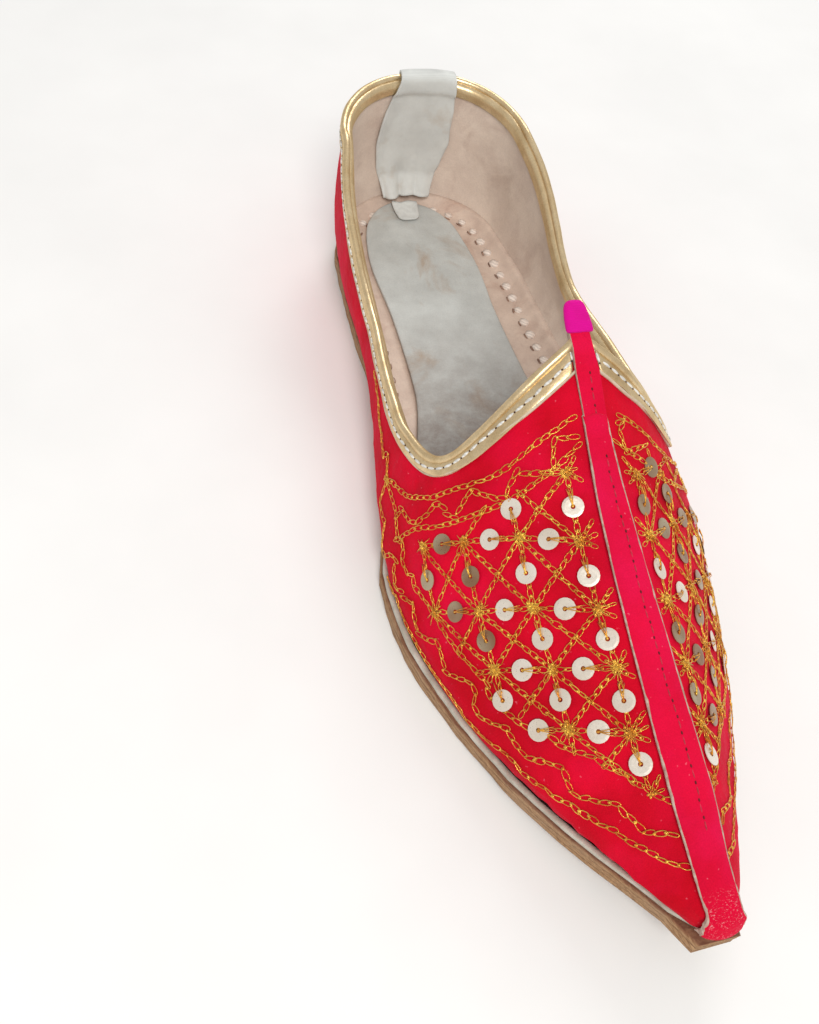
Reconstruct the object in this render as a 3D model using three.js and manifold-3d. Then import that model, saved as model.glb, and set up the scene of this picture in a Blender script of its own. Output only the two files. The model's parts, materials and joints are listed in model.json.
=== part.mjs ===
// A mojari: a flat, straight-lasted slip-on shoe with a keeled vamp, a turned-up pointed toe and a
// short tongue tab. Millimetres. The tables run along the shoe: s is 0 at the back of the heel and
// LENGTH at the tip of the toe. In the part's own frame the toe points along -Y, X is across the
// foot and Z is up.
import * as THREE from "three";
import { mergeVertices } from "three/addons/utils/BufferGeometryUtils.js";
import Module from "manifold-3d";

const wasm = await Module();
wasm.setup();

// Driving dimensions
const LENGTH = 267;
const HEEL_RADIUS = 29;
const GAP = 0.3; // between any two pieces that meet
const OUTSOLE = 5;
const RAND = 1.3;
const INSOLE = 1.5;
const SOCK = 1.5;
const WALL = 1.8; // cloth, leather and lining together
const FEATHER_INSET = 1.6; // how far the upper's foot stands in from the sole's edge
const TOE_SPRING_START = 195;
const TOE_SPRING_RADIUS = 181;
const BINDING = 0.8;
const BINDING_REACH = 3.4; // how far the binding comes down from the rim
const BINDING_WIDER = 1.5; // how much further it comes along the throat
const TAB = 0.8;
const STRIP = 1.3;
const TONGUE_HALF = 3.2; // the narrow strip, before its gaps
const TONGUE_PAST = 1.8; // how far it runs on past the throat
const CAP = { length: 8, half: 3.3, thick: 2.4 };
const THROAT_S = 150.3; // foot of the rib that ends at the throat
const STRIP_START = 164; // foot of the rib where the wide strip starts
const TOE_S = 258; // foot of the last rib before the toe's end
const TOE_END = 6.6; // how far the toe's end runs on from there
const TOE_HALF = 5.5; // half the width of the toe's blunt end
const TOE_DROP = 3.6; // how far the ridge comes down over it

const UPPER_FOOT = OUTSOLE + GAP + RAND + GAP;

const soleRows = [
  { s: 29, half: 29 },
  { s: 60, half: 30.5 },
  { s: 90, half: 30.2 },
  { s: 115, half: 32.4 },
  { s: 138, half: 39.4 },
  { s: 160, half: 45.4 },
  { s: 176, half: 44.6 },
  { s: 190, half: 41.3 },
  { s: 205, half: 36 },
  { s: 220, half: 29.6 },
  { s: 235, half: 21.8 },
  { s: 247, half: 14.6 },
  { s: 257, half: 8.8 },
  { s: 263, half: 6.3 },
  { s: 267, half: 5.2 },
];

const sockRows = [
  { s: 22, half: 16.6 },
  { s: 40, half: 18.6 },
  { s: 64, half: 17.4 },
  { s: 94, half: 18.2 },
  { s: 129, half: 27 },
  { s: 170, half: 34 },
  { s: 200, half: 27 },
];

// The side of the upper, from the heel to the corner of the throat: its widest place, its rim, and
// how far over the arch has leaned when it reaches the rim (90 is upright).
const quarterRows = [
  { s: 29, belly: 31.2, bellyUp: 17, rim: 29.9, rimZ: 51.6, lean: 90 },
  { s: 39, belly: 32.8, bellyUp: 16, rim: 31.9, rimZ: 47.6, lean: 85 },
  { s: 50, belly: 34, bellyUp: 15, rim: 33, rimZ: 42.2, lean: 80 },
  { s: 80, belly: 34.2, bellyUp: 11, rim: 32.6, rimZ: 31, lean: 66 },
  { s: 108, belly: 37.2, bellyUp: 8, rim: 35.2, rimZ: 31.8, lean: 54 },
  { s: 132, belly: 42, bellyUp: 5.6, rim: 36.2, rimZ: 34, lean: 44 },
  { s: 151.5, belly: 44.3, bellyUp: 4.6, rim: 31.6, rimZ: 38, lean: 37 },
];

// The vamp: its widest place, its ridge, which leans back from the rib's foot near the throat, the
// lean at which the rows of the rim go on over it, and how far its ribs bow towards the toe, as the
// throat's edge does.
const vampRows = [
  { s: 151.5, belly: 44.3, bellyUp: 4.6, ridgeS: 141, ridgeZ: 72.8, lean: 37, bow: 4 },
  { s: 161, belly: 44.2, bellyUp: 4.4, ridgeS: 153.8, ridgeZ: 66.6, lean: 35, bow: 3 },
  { s: 173, belly: 42.7, bellyUp: 4.2, ridgeS: 169, ridgeZ: 58.6, lean: 33.5, bow: 1.4 },
  { s: 189, belly: 39.6, bellyUp: 4, ridgeS: 187.5, ridgeZ: 51.8, lean: 31, bow: 0 },
  { s: 213, belly: 31.8, bellyUp: 3.8, ridgeS: 213, ridgeZ: 43.6, lean: 27, bow: 0 },
  { s: 238, belly: 20.4, bellyUp: 3.4, ridgeS: 238, ridgeZ: 36, lean: 23, bow: 0 },
  { s: 258, belly: 9, bellyUp: 3, ridgeS: 256.5, ridgeZ: 29, lean: 20, bow: 0 },
];

// The blunt end of the toe, rib by rib: how far on it is, how far the flanks have drawn in to the
// end's own width, and how much of that width is left.
const toeRows = [
  { on: 0.3, drawn: 0.55, left: 1 },
  { on: 0.7, drawn: 1, left: 0.97 },
  { on: 0.95, drawn: 1, left: 0.62 },
  { on: 1, drawn: 1, left: 0 },
];

// The wide strip on the ridge: half its width, measured over the ridge.
const stripRows = [
  { s: 150, half: 4 },
  { s: 175, half: 4.4 },
  { s: 215, half: 4.9 },
  { s: 258, half: 5.3 },
];

// Rows of points up a rib: foot, belly, just under the rim, rim, edge of the wide strip, edge of
// the tongue strip, ridge
const BELLY = 2;
const UNDER_RIM = 7;
const RIM = 8;
const STRIP_EDGE = 15;
const TONGUE_EDGE = 16;
const RIDGE = 17;
const ARCH_ACROSS = 1.4; // over 1 draws the arch in to a keel
const ARCH_UP = 1.55;

const quarterStations = [39, 48, 58, 68, 79, 90, 101, 111, 120, 128, 135, 141, 146.5];
const vampStations = [THROAT_S, 156, STRIP_START, 172, 181, 190, 199, 208, 217, 226, 235, 243, 251, TOE_S];
const heelTurns = [0, 8, 16.5, 27, 39, 52, 65, 78, 90];
const TAB_RIB = 2; // the tab's edge, by its place in heelTurns
const TAB_LOW = 1; // its lowest row inside
const TOE_FOLD = 1; // the rib where the strip turns down the toe, by its place in toeRows

const rad = THREE.MathUtils.degToRad;
const range = (from, to) => Array.from({ length: to - from }, (_, i) => from + i);
const point = (x, s, z) => new THREE.Vector3(x, -s, z);
const between = (a, b, part) => a.clone().lerp(b, part);

// A smooth curve through one column of a table, level wherever the rows turn back.
function column(rows, key) {
  const x = rows.map((row) => row.s);
  const y = rows.map((row) => row[key]);
  const slope = x.slice(1).map((next, i) => (y[i + 1] - y[i]) / (next - x[i]));
  const tangent = y.map((_, i) => {
    const before = slope[Math.max(i - 1, 0)];
    const after = slope[Math.min(i, slope.length - 1)];
    return before * after > 0 ? (2 * before * after) / (before + after) : 0;
  });
  return (at) => {
    const q = THREE.MathUtils.clamp(at, x[0], x[x.length - 1]);
    const i = Math.min(x.filter((edge) => edge <= q).length, x.length - 1) - 1;
    const span = x[i + 1] - x[i];
    const u = (q - x[i]) / span;
    const held = y[i] * (1 + 2 * u) * (1 - u) ** 2 + y[i + 1] * u * u * (3 - 2 * u);
    return held + span * u * (1 - u) * (tangent[i] * (1 - u) - tangent[i + 1] * u);
  };
}

const columns = (rows) => Object.fromEntries(Object.keys(rows[0]).map((key) => [key, column(rows, key)]));
const sole = columns(soleRows);
const sockShape = columns(sockRows);
const quarter = columns(quarterRows);
const vamp = columns(vampRows);
const strip = columns(stripRows);

// How far the toe spring lifts the shoe at s, and how steep it is there.
function lift(s) {
  const past = Math.max(0, s - TOE_SPRING_START);
  return TOE_SPRING_RADIUS - Math.sqrt(TOE_SPRING_RADIUS ** 2 - past ** 2);
}
const steepness = (s) => (lift(s + 0.5) - lift(s - 0.5)) / 1;

// Solids: triangles to manifold-3d, and back to three.js geometry.
function solid(triangles) {
  const loose = new THREE.BufferGeometry();
  loose.setAttribute("position", new THREE.Float32BufferAttribute(triangles.flatMap((p) => p.toArray()), 3));
  const merged = mergeVertices(loose, 1e-3);
  const vertProperties = merged.attributes.position.array;
  const triVerts = new Uint32Array(merged.index.array);
  return new wasm.Manifold(new wasm.Mesh({ numProp: 3, vertProperties, triVerts }));
}

function geometry(made) {
  const mesh = made.getMesh();
  const shaped = new THREE.BufferGeometry();
  shaped.setAttribute("position", new THREE.BufferAttribute(mesh.vertProperties, 3));
  shaped.setIndex(new THREE.BufferAttribute(mesh.triVerts, 1));
  shaped.computeVertexNormals();
  return shaped;
}

const quad = (a, b, c, d) => [a, b, c, a, c, d];
const reversed = (triangles) => triangles.map((_, i) => triangles[i - (i % 3) + 2 - (i % 3)]);

// A loft through rings of the same count, with fans over its two ends.
function loft(rings) {
  const count = rings[0].length;
  const last = rings[rings.length - 1];
  const triangles = [];
  for (const i of range(0, rings.length - 1))
    for (const j of range(0, count)) {
      const k = (j + 1) % count;
      triangles.push(...quad(rings[i][j], rings[i][k], rings[i + 1][k], rings[i + 1][j]));
    }
  for (const j of range(1, count - 1)) {
    triangles.push(rings[0][0], rings[0][j + 1], rings[0][j]);
    triangles.push(last[0], last[j], last[j + 1]);
  }
  const made = solid(triangles);
  return made.volume() > 0 ? made : solid(reversed(triangles));
}

// The sole's outline drawn in by an inset, and the pad's own outline.
function outline(inset) {
  const radius = HEEL_RADIUS - inset;
  const along = (s) => sole.half(s) - inset * Math.hypot(1, sole.half(s + 0.5) - sole.half(s - 0.5));
  const round = (s) => Math.sqrt(Math.max(0, radius ** 2 - (HEEL_RADIUS - s) ** 2));
  const half = (s) => (s < HEEL_RADIUS ? round(s) : along(s));
  return { start: inset, turn: HEEL_RADIUS, end: LENGTH - inset, half };
}

function padOutline(start, turn, end) {
  const round = (u) => Math.sqrt(Math.max(0, 1 - (1 - Math.min(u, 1)) ** 2));
  const half = (s) => sockShape.half(s) * round((s - start) / (turn - start)) * round((end + 1 - s) / 22);
  return { start, turn, end, half };
}

// One flat layer of the sole, with its edge softened by a small bevel.
function plate({ start, turn, end, half }, underside, thick, bevel) {
  const heel = range(0, 10).map((i) => turn - (turn - start) * Math.cos(rad((90 * (i + 0.4)) / 10)));
  const count = Math.round((end - turn) / 8);
  const rest = range(0, count + 1).map((i) => turn + ((end - turn) * i) / count);
  return loft(
    [...heel, ...rest].map((s) => {
      const low = underside + lift(s);
      const high = low + thick;
      const side = [
        point(half(s) - bevel, s, low),
        point(half(s), s, low + bevel),
        point(half(s), s, high - bevel),
        point(half(s) - bevel, s, high),
      ];
      return [...side, ...side.map((p) => point(-p.x, s, p.z)).reverse()];
    }),
  );
}

// The ribs of the upper, each from its foot over its belly to the top that its arch aims at.
const feather = outline(FEATHER_INSET);

function heelRib(turn) {
  const side = Math.sin(turn);
  const back = Math.cos(turn);
  const foot = HEEL_RADIUS - FEATHER_INSET;
  const bellyZ = UPPER_FOOT + quarter.bellyUp(29);
  const rimZ = quarter.rimZ(29) + 3.6 * back ** 1.5;
  return {
    foot: point(foot * side, HEEL_RADIUS - foot * back, UPPER_FOOT),
    belly: point(quarter.belly(29) * side ** 0.95, HEEL_RADIUS - 29.4 * back, bellyZ),
    top: point(quarter.rim(29) * side ** 0.86, HEEL_RADIUS - 28 * back, rimZ),
    lean: rad(90),
  };
}

const across = (angle) => Math.max(0, Math.cos(angle)) ** ARCH_ACROSS;
const upward = (angle) => Math.sin(angle) ** ARCH_UP;

// The arch goes on past the rim to a top that nothing reaches, so that it passes through the rim.
function quarterRib(s) {
  const lean = rad(quarter.lean(s));
  const belly = point(quarter.belly(s), s, UPPER_FOOT + quarter.bellyUp(s));
  const topX = (quarter.rim(s) - belly.x * across(lean)) / (1 - across(lean));
  const topZ = belly.z + (quarter.rimZ(s) - belly.z) / upward(lean);
  return { foot: point(feather.half(s), s, UPPER_FOOT), belly, top: point(topX, s, topZ), lean };
}

function vampRib(s) {
  const floor = UPPER_FOOT + lift(s);
  return {
    foot: point(feather.half(s), s, floor),
    belly: point(vamp.belly(s), s, floor + vamp.bellyUp(s)),
    top: point(0, vamp.ridgeS(s), vamp.ridgeZ(s)),
    lean: rad(vamp.lean(s)),
    whole: true,
    stripHalf: strip.half(s),
    bow: vamp.bow(s),
  };
}

function archPoint({ belly, top, bow = 0 }, angle) {
  const p = between(top, belly, across(angle));
  return p.set(p.x, p.y - bow * Math.sin(2 * angle), belly.z + (top.z - belly.z) * upward(angle));
}

// The angle on a rib's arch that lies a given way down from another angle.
function angleBelow(rib, from, reach) {
  const step = rad(0.25);
  let [angle, gone] = [from, 0];
  while (gone < reach && angle > step) {
    gone += archPoint(rib, angle).distanceTo(archPoint(rib, angle - step));
    angle -= step;
  }
  return angle;
}

function ribPoints(rib) {
  const underRim = Math.max(angleBelow(rib, rib.lean, BINDING_REACH), 0.6 * rib.lean);
  const marks = [[BELLY, 0], [UNDER_RIM, underRim], [RIM, rib.lean]];
  if (rib.whole)
    marks.push(
      [STRIP_EDGE, angleBelow(rib, rad(90), rib.stripHalf)],
      [TONGUE_EDGE, angleBelow(rib, rad(90), TONGUE_HALF)],
      [RIDGE, rad(90)],
    );
  const low = range(0, BELLY).map((row) => {
    const turn = rad((90 * row) / BELLY);
    const below = rib.belly.clone().setZ(rib.foot.z);
    return between(rib.foot, rib.belly, row / BELLY).lerp(below, 0.6 * Math.sin(turn));
  });
  const arch = range(BELLY, marks[marks.length - 1][0] + 1).map((row) => {
    const next = Math.max(1, marks.findIndex(([at]) => at >= row));
    const [[fromRow, from], [toRow, to]] = [marks[next - 1], marks[next]];
    return archPoint(rib, from + ((to - from) * (row - fromRow)) / (toRow - fromRow));
  });
  return [...low, ...arch];
}

// A rib of the toe's end: the last rib of the vamp carried on and drawn in.
function toePoints({ on, drawn, left }) {
  return ribPoints(vampRib(TOE_S)).map((p, row, rib) => {
    const x = (p.x + (Math.min(p.x, TOE_HALF) - p.x) * drawn) * left;
    const s = -p.y + TOE_END * on * (row === 0 ? 0.96 : 1);
    const up = (p.z - rib[0].z) / (rib[RIDGE].z - rib[0].z);
    return point(x, s, p.z + lift(s) - lift(-p.y) - up * TOE_DROP * on);
  });
}

const quarterRibs = [...heelTurns.map((turn) => heelRib(rad(turn))), ...quarterStations.map(quarterRib)];
const THROAT = quarterRibs.length;
const ribs = [...[...quarterRibs, ...vampStations.map(vampRib)].map(ribPoints), ...toeRows.map(toePoints)];
const LAST = ribs.length - 1;
const JOIN = THROAT + vampStations.indexOf(STRIP_START);
const FOLD = LAST - toeRows.length + 1 + TOE_FOLD;
const topRow = (i) => (i < THROAT ? RIM : RIDGE);
const onMiddle = (i, row) => i === 0 || i === LAST || row === RIDGE;

// The rim's path over the grid, and the path one cell inside it, rounded off together where the
// throat turns.
const rimPath = [
  ...range(0, THROAT).map((i) => [i, RIM]),
  ...range(RIM, RIDGE + 1).map((row) => [THROAT, row]),
];
const innerPath = [
  ...range(0, THROAT + 1).map((i) => [i, UNDER_RIM]),
  ...range(UNDER_RIM, RIDGE + 1).map((row) => [THROAT + 1, row]),
];
function roundOff(path, corner, reach, passes) {
  for (const _ of range(0, passes)) {
    const moved = range(corner - reach, corner + reach + 1).map((k) => {
      const [a, b, c] = [k - 1, k, k + 1].map((at) => ribs[path[at][0]][path[at][1]]);
      return [path[k], between(between(a, c, 0.5), b, 0.5)];
    });
    for (const [[i, row], p] of moved) ribs[i][row] = p;
  }
}
roundOff(rimPath, THROAT, 3, 4);
roundOff(innerPath, THROAT + 1, 3, 3);

// The inner path keeps the binding's own width from the rim.
const rimPoints = rimPath.map(([i, row]) => ribs[i][row]);
innerPath.forEach(([i, row], k) => {
  const nearest = rimPoints.slice(1).map((b, at) => {
    const line = new THREE.Line3(rimPoints[at], b);
    return line.closestPointToPoint(ribs[i][row], true, new THREE.Vector3());
  });
  const away = (q) => q.distanceTo(ribs[i][row]);
  const on = nearest.reduce((best, q) => (away(q) < away(best) ? q : best));
  const reach = BINDING_REACH + BINDING_WIDER * THREE.MathUtils.smoothstep(k, THROAT, THROAT + 6);
  ribs[i][row] = on.clone().add(ribs[i][row].clone().sub(on).setLength(reach));
  if (onMiddle(i, row)) ribs[i][row].x = 0;
});

// Outward normals over the grid. They stay in the middle plane on it, run along the sole at the
// foot, and never point down to it below the belly.
const normals = ribs.map((rib) => rib.map(() => new THREE.Vector3()));
for (const i of range(0, LAST))
  for (const row of range(0, topRow(i))) {
    const up = ribs[i + 1][row + 1].clone().sub(ribs[i][row]);
    const face = ribs[i][row + 1].clone().sub(ribs[i + 1][row]).cross(up).normalize();
    for (const [a, b] of [[i, row], [i + 1, row], [i, row + 1], [i + 1, row + 1]]) normals[a][b].add(face);
  }
normals.forEach((rib, i) =>
  rib.forEach((n, row) => {
    if (onMiddle(i, row)) n.x = 0;
    if (row <= BELLY) {
      const floor = new THREE.Vector3(0, steepness(-ribs[i][0].y), 1).normalize();
      n.addScaledVector(floor, -Math.min(n.dot(floor), row === 0 ? n.dot(floor) : 0));
    }
    n.normalize();
  }),
);

const offRim = new Map(
  rimPath.map(([i, row], k) => {
    const before = rimPath[Math.max(k - 1, 0)];
    const after = rimPath[Math.min(k + 1, rimPath.length - 1)];
    const run = ribs[after[0]][after[1]].clone().sub(ribs[before[0]][before[1]]);
    if (onMiddle(i, row)) run.set(k === 0 ? 1 : -1, 0, 0);
    return [`${i} ${row}`, run.cross(normals[i][row]).normalize()];
  }),
);

// A point of the grid moved off the wall's outer face, and past the rim if it lies on the rim.
function place([i, row], { off, past = 0 }) {
  const p = ribs[i][row].clone().addScaledVector(normals[i][row], off);
  const rimward = offRim.get(`${i} ${row}`);
  if (rimward) p.addScaledVector(rimward, past);
  if (onMiddle(i, row)) p.x = 0;
  return p;
}

// The corners of a cell in their order round its outer face.
const corners = ([i, row]) => [[i, row], [i, row + 1], [i + 1, row + 1], [i + 1, row]];

// The directed edges round a set of cells, less those on the middle plane, in two lots: on the rim, and free.
function edges(cells) {
  const all = new Map();
  for (const cell of cells)
    corners(cell).forEach((a, k, round) => {
      const b = round[(k + 1) % 4];
      all.set(`${a} ${b}`, [a, b]);
    });
  const lone = ([a, b]) => !all.has(`${b} ${a}`) && !(onMiddle(...a) && onMiddle(...b));
  const outer = [...all.values()].filter(lone);
  const onRim = ([a, b]) => offRim.has(`${a[0]} ${a[1]}`) && offRim.has(`${b[0]} ${b[1]}`);
  return { rim: outer.filter(onRim), free: outer.filter((edge) => !onRim(edge)) };
}

const faces = (cells, layer) => cells.flatMap((cell) => quad(...corners(cell).map((at) => place(at, layer))));
const walls = (lot, from, to) =>
  lot.flatMap(([a, b]) => quad(place(b, from), place(a, from), place(a, to), place(b, to)));
const bothSides = (half) => solid([...half, ...reversed(half).map((p) => p.clone().setX(-p.x))]);

// A skin over some cells, between two distances off the wall's outer face.
function skin(cells, outside, inside) {
  const { rim, free } = edges(cells);
  const both = [...faces(cells, outside), ...reversed(faces(cells, inside))];
  return bothSides([...both, ...walls([...rim, ...free], outside, inside)]);
}

// A skin folded over the rim: its cells outside and inside the wall, its clearance from the wall,
// and its thickness.
function folded(outerCells, innerCells, clear, thick) {
  const [a, b] = [{ off: clear + thick, past: clear + thick }, { off: clear, past: clear }];
  const [c, d] = [{ off: -WALL - clear, past: clear }, { off: -WALL - clear - thick, past: clear + thick }];
  const [outer, inner] = [edges(outerCells), edges(innerCells)];
  const half = [
    ...faces(outerCells, a),
    ...reversed(faces(outerCells, b)),
    ...faces(innerCells, c),
    ...reversed(faces(innerCells, d)),
    ...walls(outer.free, a, b),
    ...walls(inner.free, c, d),
    ...walls(outer.rim, a, d),
    ...walls(outer.rim, c, b),
  ];
  const stops = outer.rim.map(([, to]) => to);
  const end = stops.find((to) => !outer.rim.some(([from]) => `${from}` === `${to}`));
  half.push(...quad(place(end, a), place(end, d), place(end, c), place(end, b)));
  return bothSides(half);
}

const cellsIn = (from, to, low, high) =>
  range(from, to).flatMap((i) => range(low, Math.min(high, topRow(i))).map((row) => [i, row]));

const upper = skin(cellsIn(0, LAST, 0, RIDGE), { off: 0 }, { off: -WALL });

const bindingCells = [
  ...cellsIn(0, THROAT, UNDER_RIM, RIM),
  ...cellsIn(THROAT, THROAT + 1, UNDER_RIM, TONGUE_EDGE),
];
const binding = folded(bindingCells, bindingCells, GAP, BINDING);

const tabOut = cellsIn(0, TAB_RIB, UNDER_RIM - 1, RIM);
const tabIn = cellsIn(0, TAB_RIB, TAB_LOW, RIM);
const heelTab = folded(tabOut, tabIn, GAP + BINDING + GAP, TAB);

const stripCells = [...cellsIn(JOIN, FOLD, STRIP_EDGE, RIDGE), ...cellsIn(FOLD, LAST, 0, RIDGE)];
const vampStrip = skin(stripCells, { off: GAP + STRIP }, { off: GAP });

// The narrow strip: six-sided sections over the ridge, carried on past the throat.
function tongueRing(i, along, shift) {
  const at = (row, off) => between(place([i, row], { off }), place([i - 1, row], { off }), along).add(shift);
  const edge = (off) => between(at(TONGUE_EDGE, off), at(RIDGE, off), GAP / TONGUE_HALF);
  const side = [edge(GAP), edge(GAP + STRIP)];
  const mirror = side.map((p) => p.clone().setX(-p.x)).reverse();
  return [at(RIDGE, GAP), ...side, at(RIDGE, GAP + STRIP), ...mirror];
}
const backward = ribs[THROAT][RIDGE].clone().sub(ribs[THROAT + 1][RIDGE]).normalize();
const none = new THREE.Vector3();
const tongue = loft([
  tongueRing(JOIN, 0.08, none),
  tongueRing(THROAT + 1, 0, none),
  tongueRing(THROAT + 1, 0.999, none),
  tongueRing(THROAT + 1, 0.999, backward.clone().multiplyScalar(TONGUE_PAST)),
]);

// The cap on the tongue's end: a rounded slab that goes on where the narrow strip stops.
const capUp = new THREE.Vector3(1, 0, 0).cross(backward).normalize().negate();
const capRows = [
  { along: 0, half: 0.92, thick: 0.8 },
  { along: 0.12, half: 1, thick: 1 },
  { along: 0.7, half: 1, thick: 1 },
  { along: 0.9, half: 0.86, thick: 0.86 },
  { along: 1, half: 0.6, thick: 0.5 },
];
const capFoot = place([THROAT, RIDGE], { off: GAP + STRIP / 2 });
const capStart = capFoot.addScaledVector(backward, TONGUE_PAST + GAP);
const cap = loft(
  capRows.map((row) => {
    const centre = capStart.clone().addScaledVector(backward, row.along * CAP.length);
    const [x, z] = [row.half * CAP.half, (row.thick * CAP.thick) / 2];
    const right = [[0.75, -1], [1, -0.4], [1, 0.4], [0.75, 1]];
    const left = right.map(([a, b]) => [-a, b]).reverse();
    return [...right, ...left].map(([a, b]) => centre.clone().setX(a * x).addScaledVector(capUp, b * z));
  }),
);

const insoleOutline = { ...outline(FEATHER_INSET + WALL + 2.5 * GAP), end: TOE_S - 2 };
const pad = plate(padOutline(5.5, 26, 212), UPPER_FOOT + INSOLE + GAP, SOCK, 0.3);
const pieces = [
  { name: "outsole", made: plate(outline(0), 0, OUTSOLE, 0.5), color: 0x82603f },
  { name: "rand", made: plate(outline(0.5), OUTSOLE + GAP, RAND, 0.2), color: 0xcdc8be },
  { name: "upper", made: upper, color: 0xc80a30 },
  { name: "insole", made: plate(insoleOutline, UPPER_FOOT, INSOLE, 0.2), color: 0xc8afa0 },
  { name: "sock_pad", made: pad, color: 0xbebeb9 },
  { name: "topline_binding", made: binding, color: 0xc4aa78 },
  { name: "heel_tab", made: heelTab, color: 0xc8cbc6 },
  { name: "vamp_strip", made: vampStrip, color: 0xde0c30 },
  { name: "tongue_strip", made: tongue, color: 0xc80a30 },
  { name: "tongue_cap", made: cap, color: 0xe00a96 },
];

const group = new THREE.Group();
group.name = "mojari_shoe";
for (const { name, made, color } of pieces) {
  const mesh = new THREE.Mesh(geometry(made), new THREE.MeshStandardMaterial({ color, roughness: 0.8 }));
  mesh.name = name;
  group.add(mesh);
}

// The origin is the middle of the whole, on the floor.
const middle = new THREE.Box3().setFromObject(group).getCenter(new THREE.Vector3());
for (const mesh of group.children) mesh.position.y = -middle.y;

export default group;
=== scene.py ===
# %% [markdown]
# # A mojari, finished piece by piece
# A mojari is a flat slip-on shoe with a pointed, turned-up toe and one strap of cloth down the middle of its vamp.
# The solids give every size, so each cell below takes its places from them. The looks come from finer copies of
# the solids, from small pieces laid on the upper's own surface, and from materials mixed from noise and waves.

# %% Load the solids
import json
from math import cos, exp, hypot, pi, radians, sin, sqrt, tau
from random import Random

import bmesh
import bpy
import numpy as np
from mathutils import Matrix, Vector, noise
from mathutils.bvhtree import BVHTree

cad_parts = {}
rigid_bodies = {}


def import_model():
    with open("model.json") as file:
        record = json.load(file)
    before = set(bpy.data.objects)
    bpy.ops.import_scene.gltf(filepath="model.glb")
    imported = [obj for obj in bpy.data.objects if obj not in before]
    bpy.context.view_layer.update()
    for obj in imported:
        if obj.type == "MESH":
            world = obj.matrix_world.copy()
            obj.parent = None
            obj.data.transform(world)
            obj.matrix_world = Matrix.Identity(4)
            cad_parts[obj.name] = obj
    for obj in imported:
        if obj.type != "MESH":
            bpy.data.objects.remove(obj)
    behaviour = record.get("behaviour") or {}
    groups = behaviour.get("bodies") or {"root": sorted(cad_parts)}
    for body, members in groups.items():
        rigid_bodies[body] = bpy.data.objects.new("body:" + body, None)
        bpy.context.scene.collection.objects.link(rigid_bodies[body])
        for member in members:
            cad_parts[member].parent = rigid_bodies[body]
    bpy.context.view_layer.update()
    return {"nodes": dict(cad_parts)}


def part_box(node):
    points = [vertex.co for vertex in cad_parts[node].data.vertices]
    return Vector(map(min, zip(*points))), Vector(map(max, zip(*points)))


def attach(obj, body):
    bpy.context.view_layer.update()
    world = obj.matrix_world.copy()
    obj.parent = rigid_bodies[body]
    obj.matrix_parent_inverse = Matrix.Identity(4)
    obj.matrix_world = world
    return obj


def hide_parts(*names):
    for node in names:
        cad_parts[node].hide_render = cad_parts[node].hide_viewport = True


for left in list(bpy.data.objects):
    bpy.data.objects.remove(left)
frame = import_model()

# %% [markdown]
# Everything is said in millimetres along the shoe: x across it, s from the back of the heel towards the toe, and
# z up. One helper turns that into the frame's metres. The sole is flat as far as the ball and then follows a
# wide circle up to the toe.

# %% Millimetres along the shoe
MM = 0.001
HEEL_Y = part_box("outsole")[1].y
SPRING_START, SPRING_RADIUS = 195, 181
DOWN = Vector((0, 0, -1))


def spot(x, s, z):
    return Vector((x * MM, HEEL_Y - s * MM, z * MM))


def along(p):
    return (HEEL_Y - p.y) / MM


def shift(x, y, z):
    return Matrix.Translation((x * MM, y * MM, z * MM))


def turned(angle, axis):
    return Matrix.Rotation(angle, 4, axis)


def lift(s):
    return SPRING_RADIUS - sqrt(SPRING_RADIUS**2 - max(0, s - SPRING_START) ** 2)


# %% [markdown]
# The camera stands in front of the toe and above it, a little to one side, and is rolled so that the shoe leans
# across the view. A rolled camera is easiest to place from its own three axes.

# %% Camera
EYE = Vector((28.61, -316.15, 239.43))
EYE_PITCH, EYE_ROLL, EYE_TURN = 0.918, 0.218, 0.435
LENS, SENSOR = 36.3902344, 36
ahead = Vector((0, cos(EYE_PITCH), -sin(EYE_PITCH)))
over = Vector((0, sin(EYE_PITCH), cos(EYE_PITCH)))
side = Vector((1, 0, 0))
turn = Matrix.Rotation(-EYE_TURN, 3, "Z")
right = turn @ (side * cos(EYE_ROLL) + over * sin(EYE_ROLL))
upward = turn @ (over * cos(EYE_ROLL) - side * sin(EYE_ROLL))
eye = turn @ EYE
camera_data = bpy.data.cameras.new("camera")
camera_data.sensor_fit, camera_data.sensor_height, camera_data.lens = "VERTICAL", SENSOR, LENS
camera_data.clip_start, camera_data.clip_end = 0.01, 20
camera = bpy.data.objects.new("camera", camera_data)
bpy.context.scene.collection.objects.link(camera)
axes = Matrix((right, upward, turn @ -ahead)).transposed()
camera.matrix_world = Matrix.Translation((eye.x * MM, eye.y * MM + HEEL_Y, eye.z * MM)) @ axes.to_4x4()
bpy.context.scene.camera = camera
print("camera", *[round(v, 3) for v in camera.matrix_world.translation])

# %% [markdown]
# Materials are mixed from a few kinds of node again and again, so short helpers add a node, join its inputs and
# return its output. Patterns read object coordinates in metres: a grain of half a millimetre has a scale of 2000.

# %% Helpers for materials
def material(name, **sockets):
    """A material and its shader, with the shader's own sockets set; an underscore stands for a space."""
    made = bpy.data.materials.new(name)
    made.use_nodes = True
    shader = made.node_tree.nodes["Principled BSDF"]
    for socket, value in sockets.items():
        shader.inputs[socket.replace("_", " ")].default_value = value
    return made, shader


def node(mat, kind, output=0, settings=None, **inputs):
    made = mat.node_tree.nodes.new("ShaderNode" + kind)
    for key, value in (settings or {}).items():
        setattr(made, key, value)
    for key, value in inputs.items():
        socket = made.inputs[int(key[1:]) if key[0] == "i" and key[1:].isdigit() else key.replace("_", " ")]
        if isinstance(value, bpy.types.NodeSocket):
            mat.node_tree.links.new(value, socket)
        else:
            socket.default_value = value
    return made.outputs[output]


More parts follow.
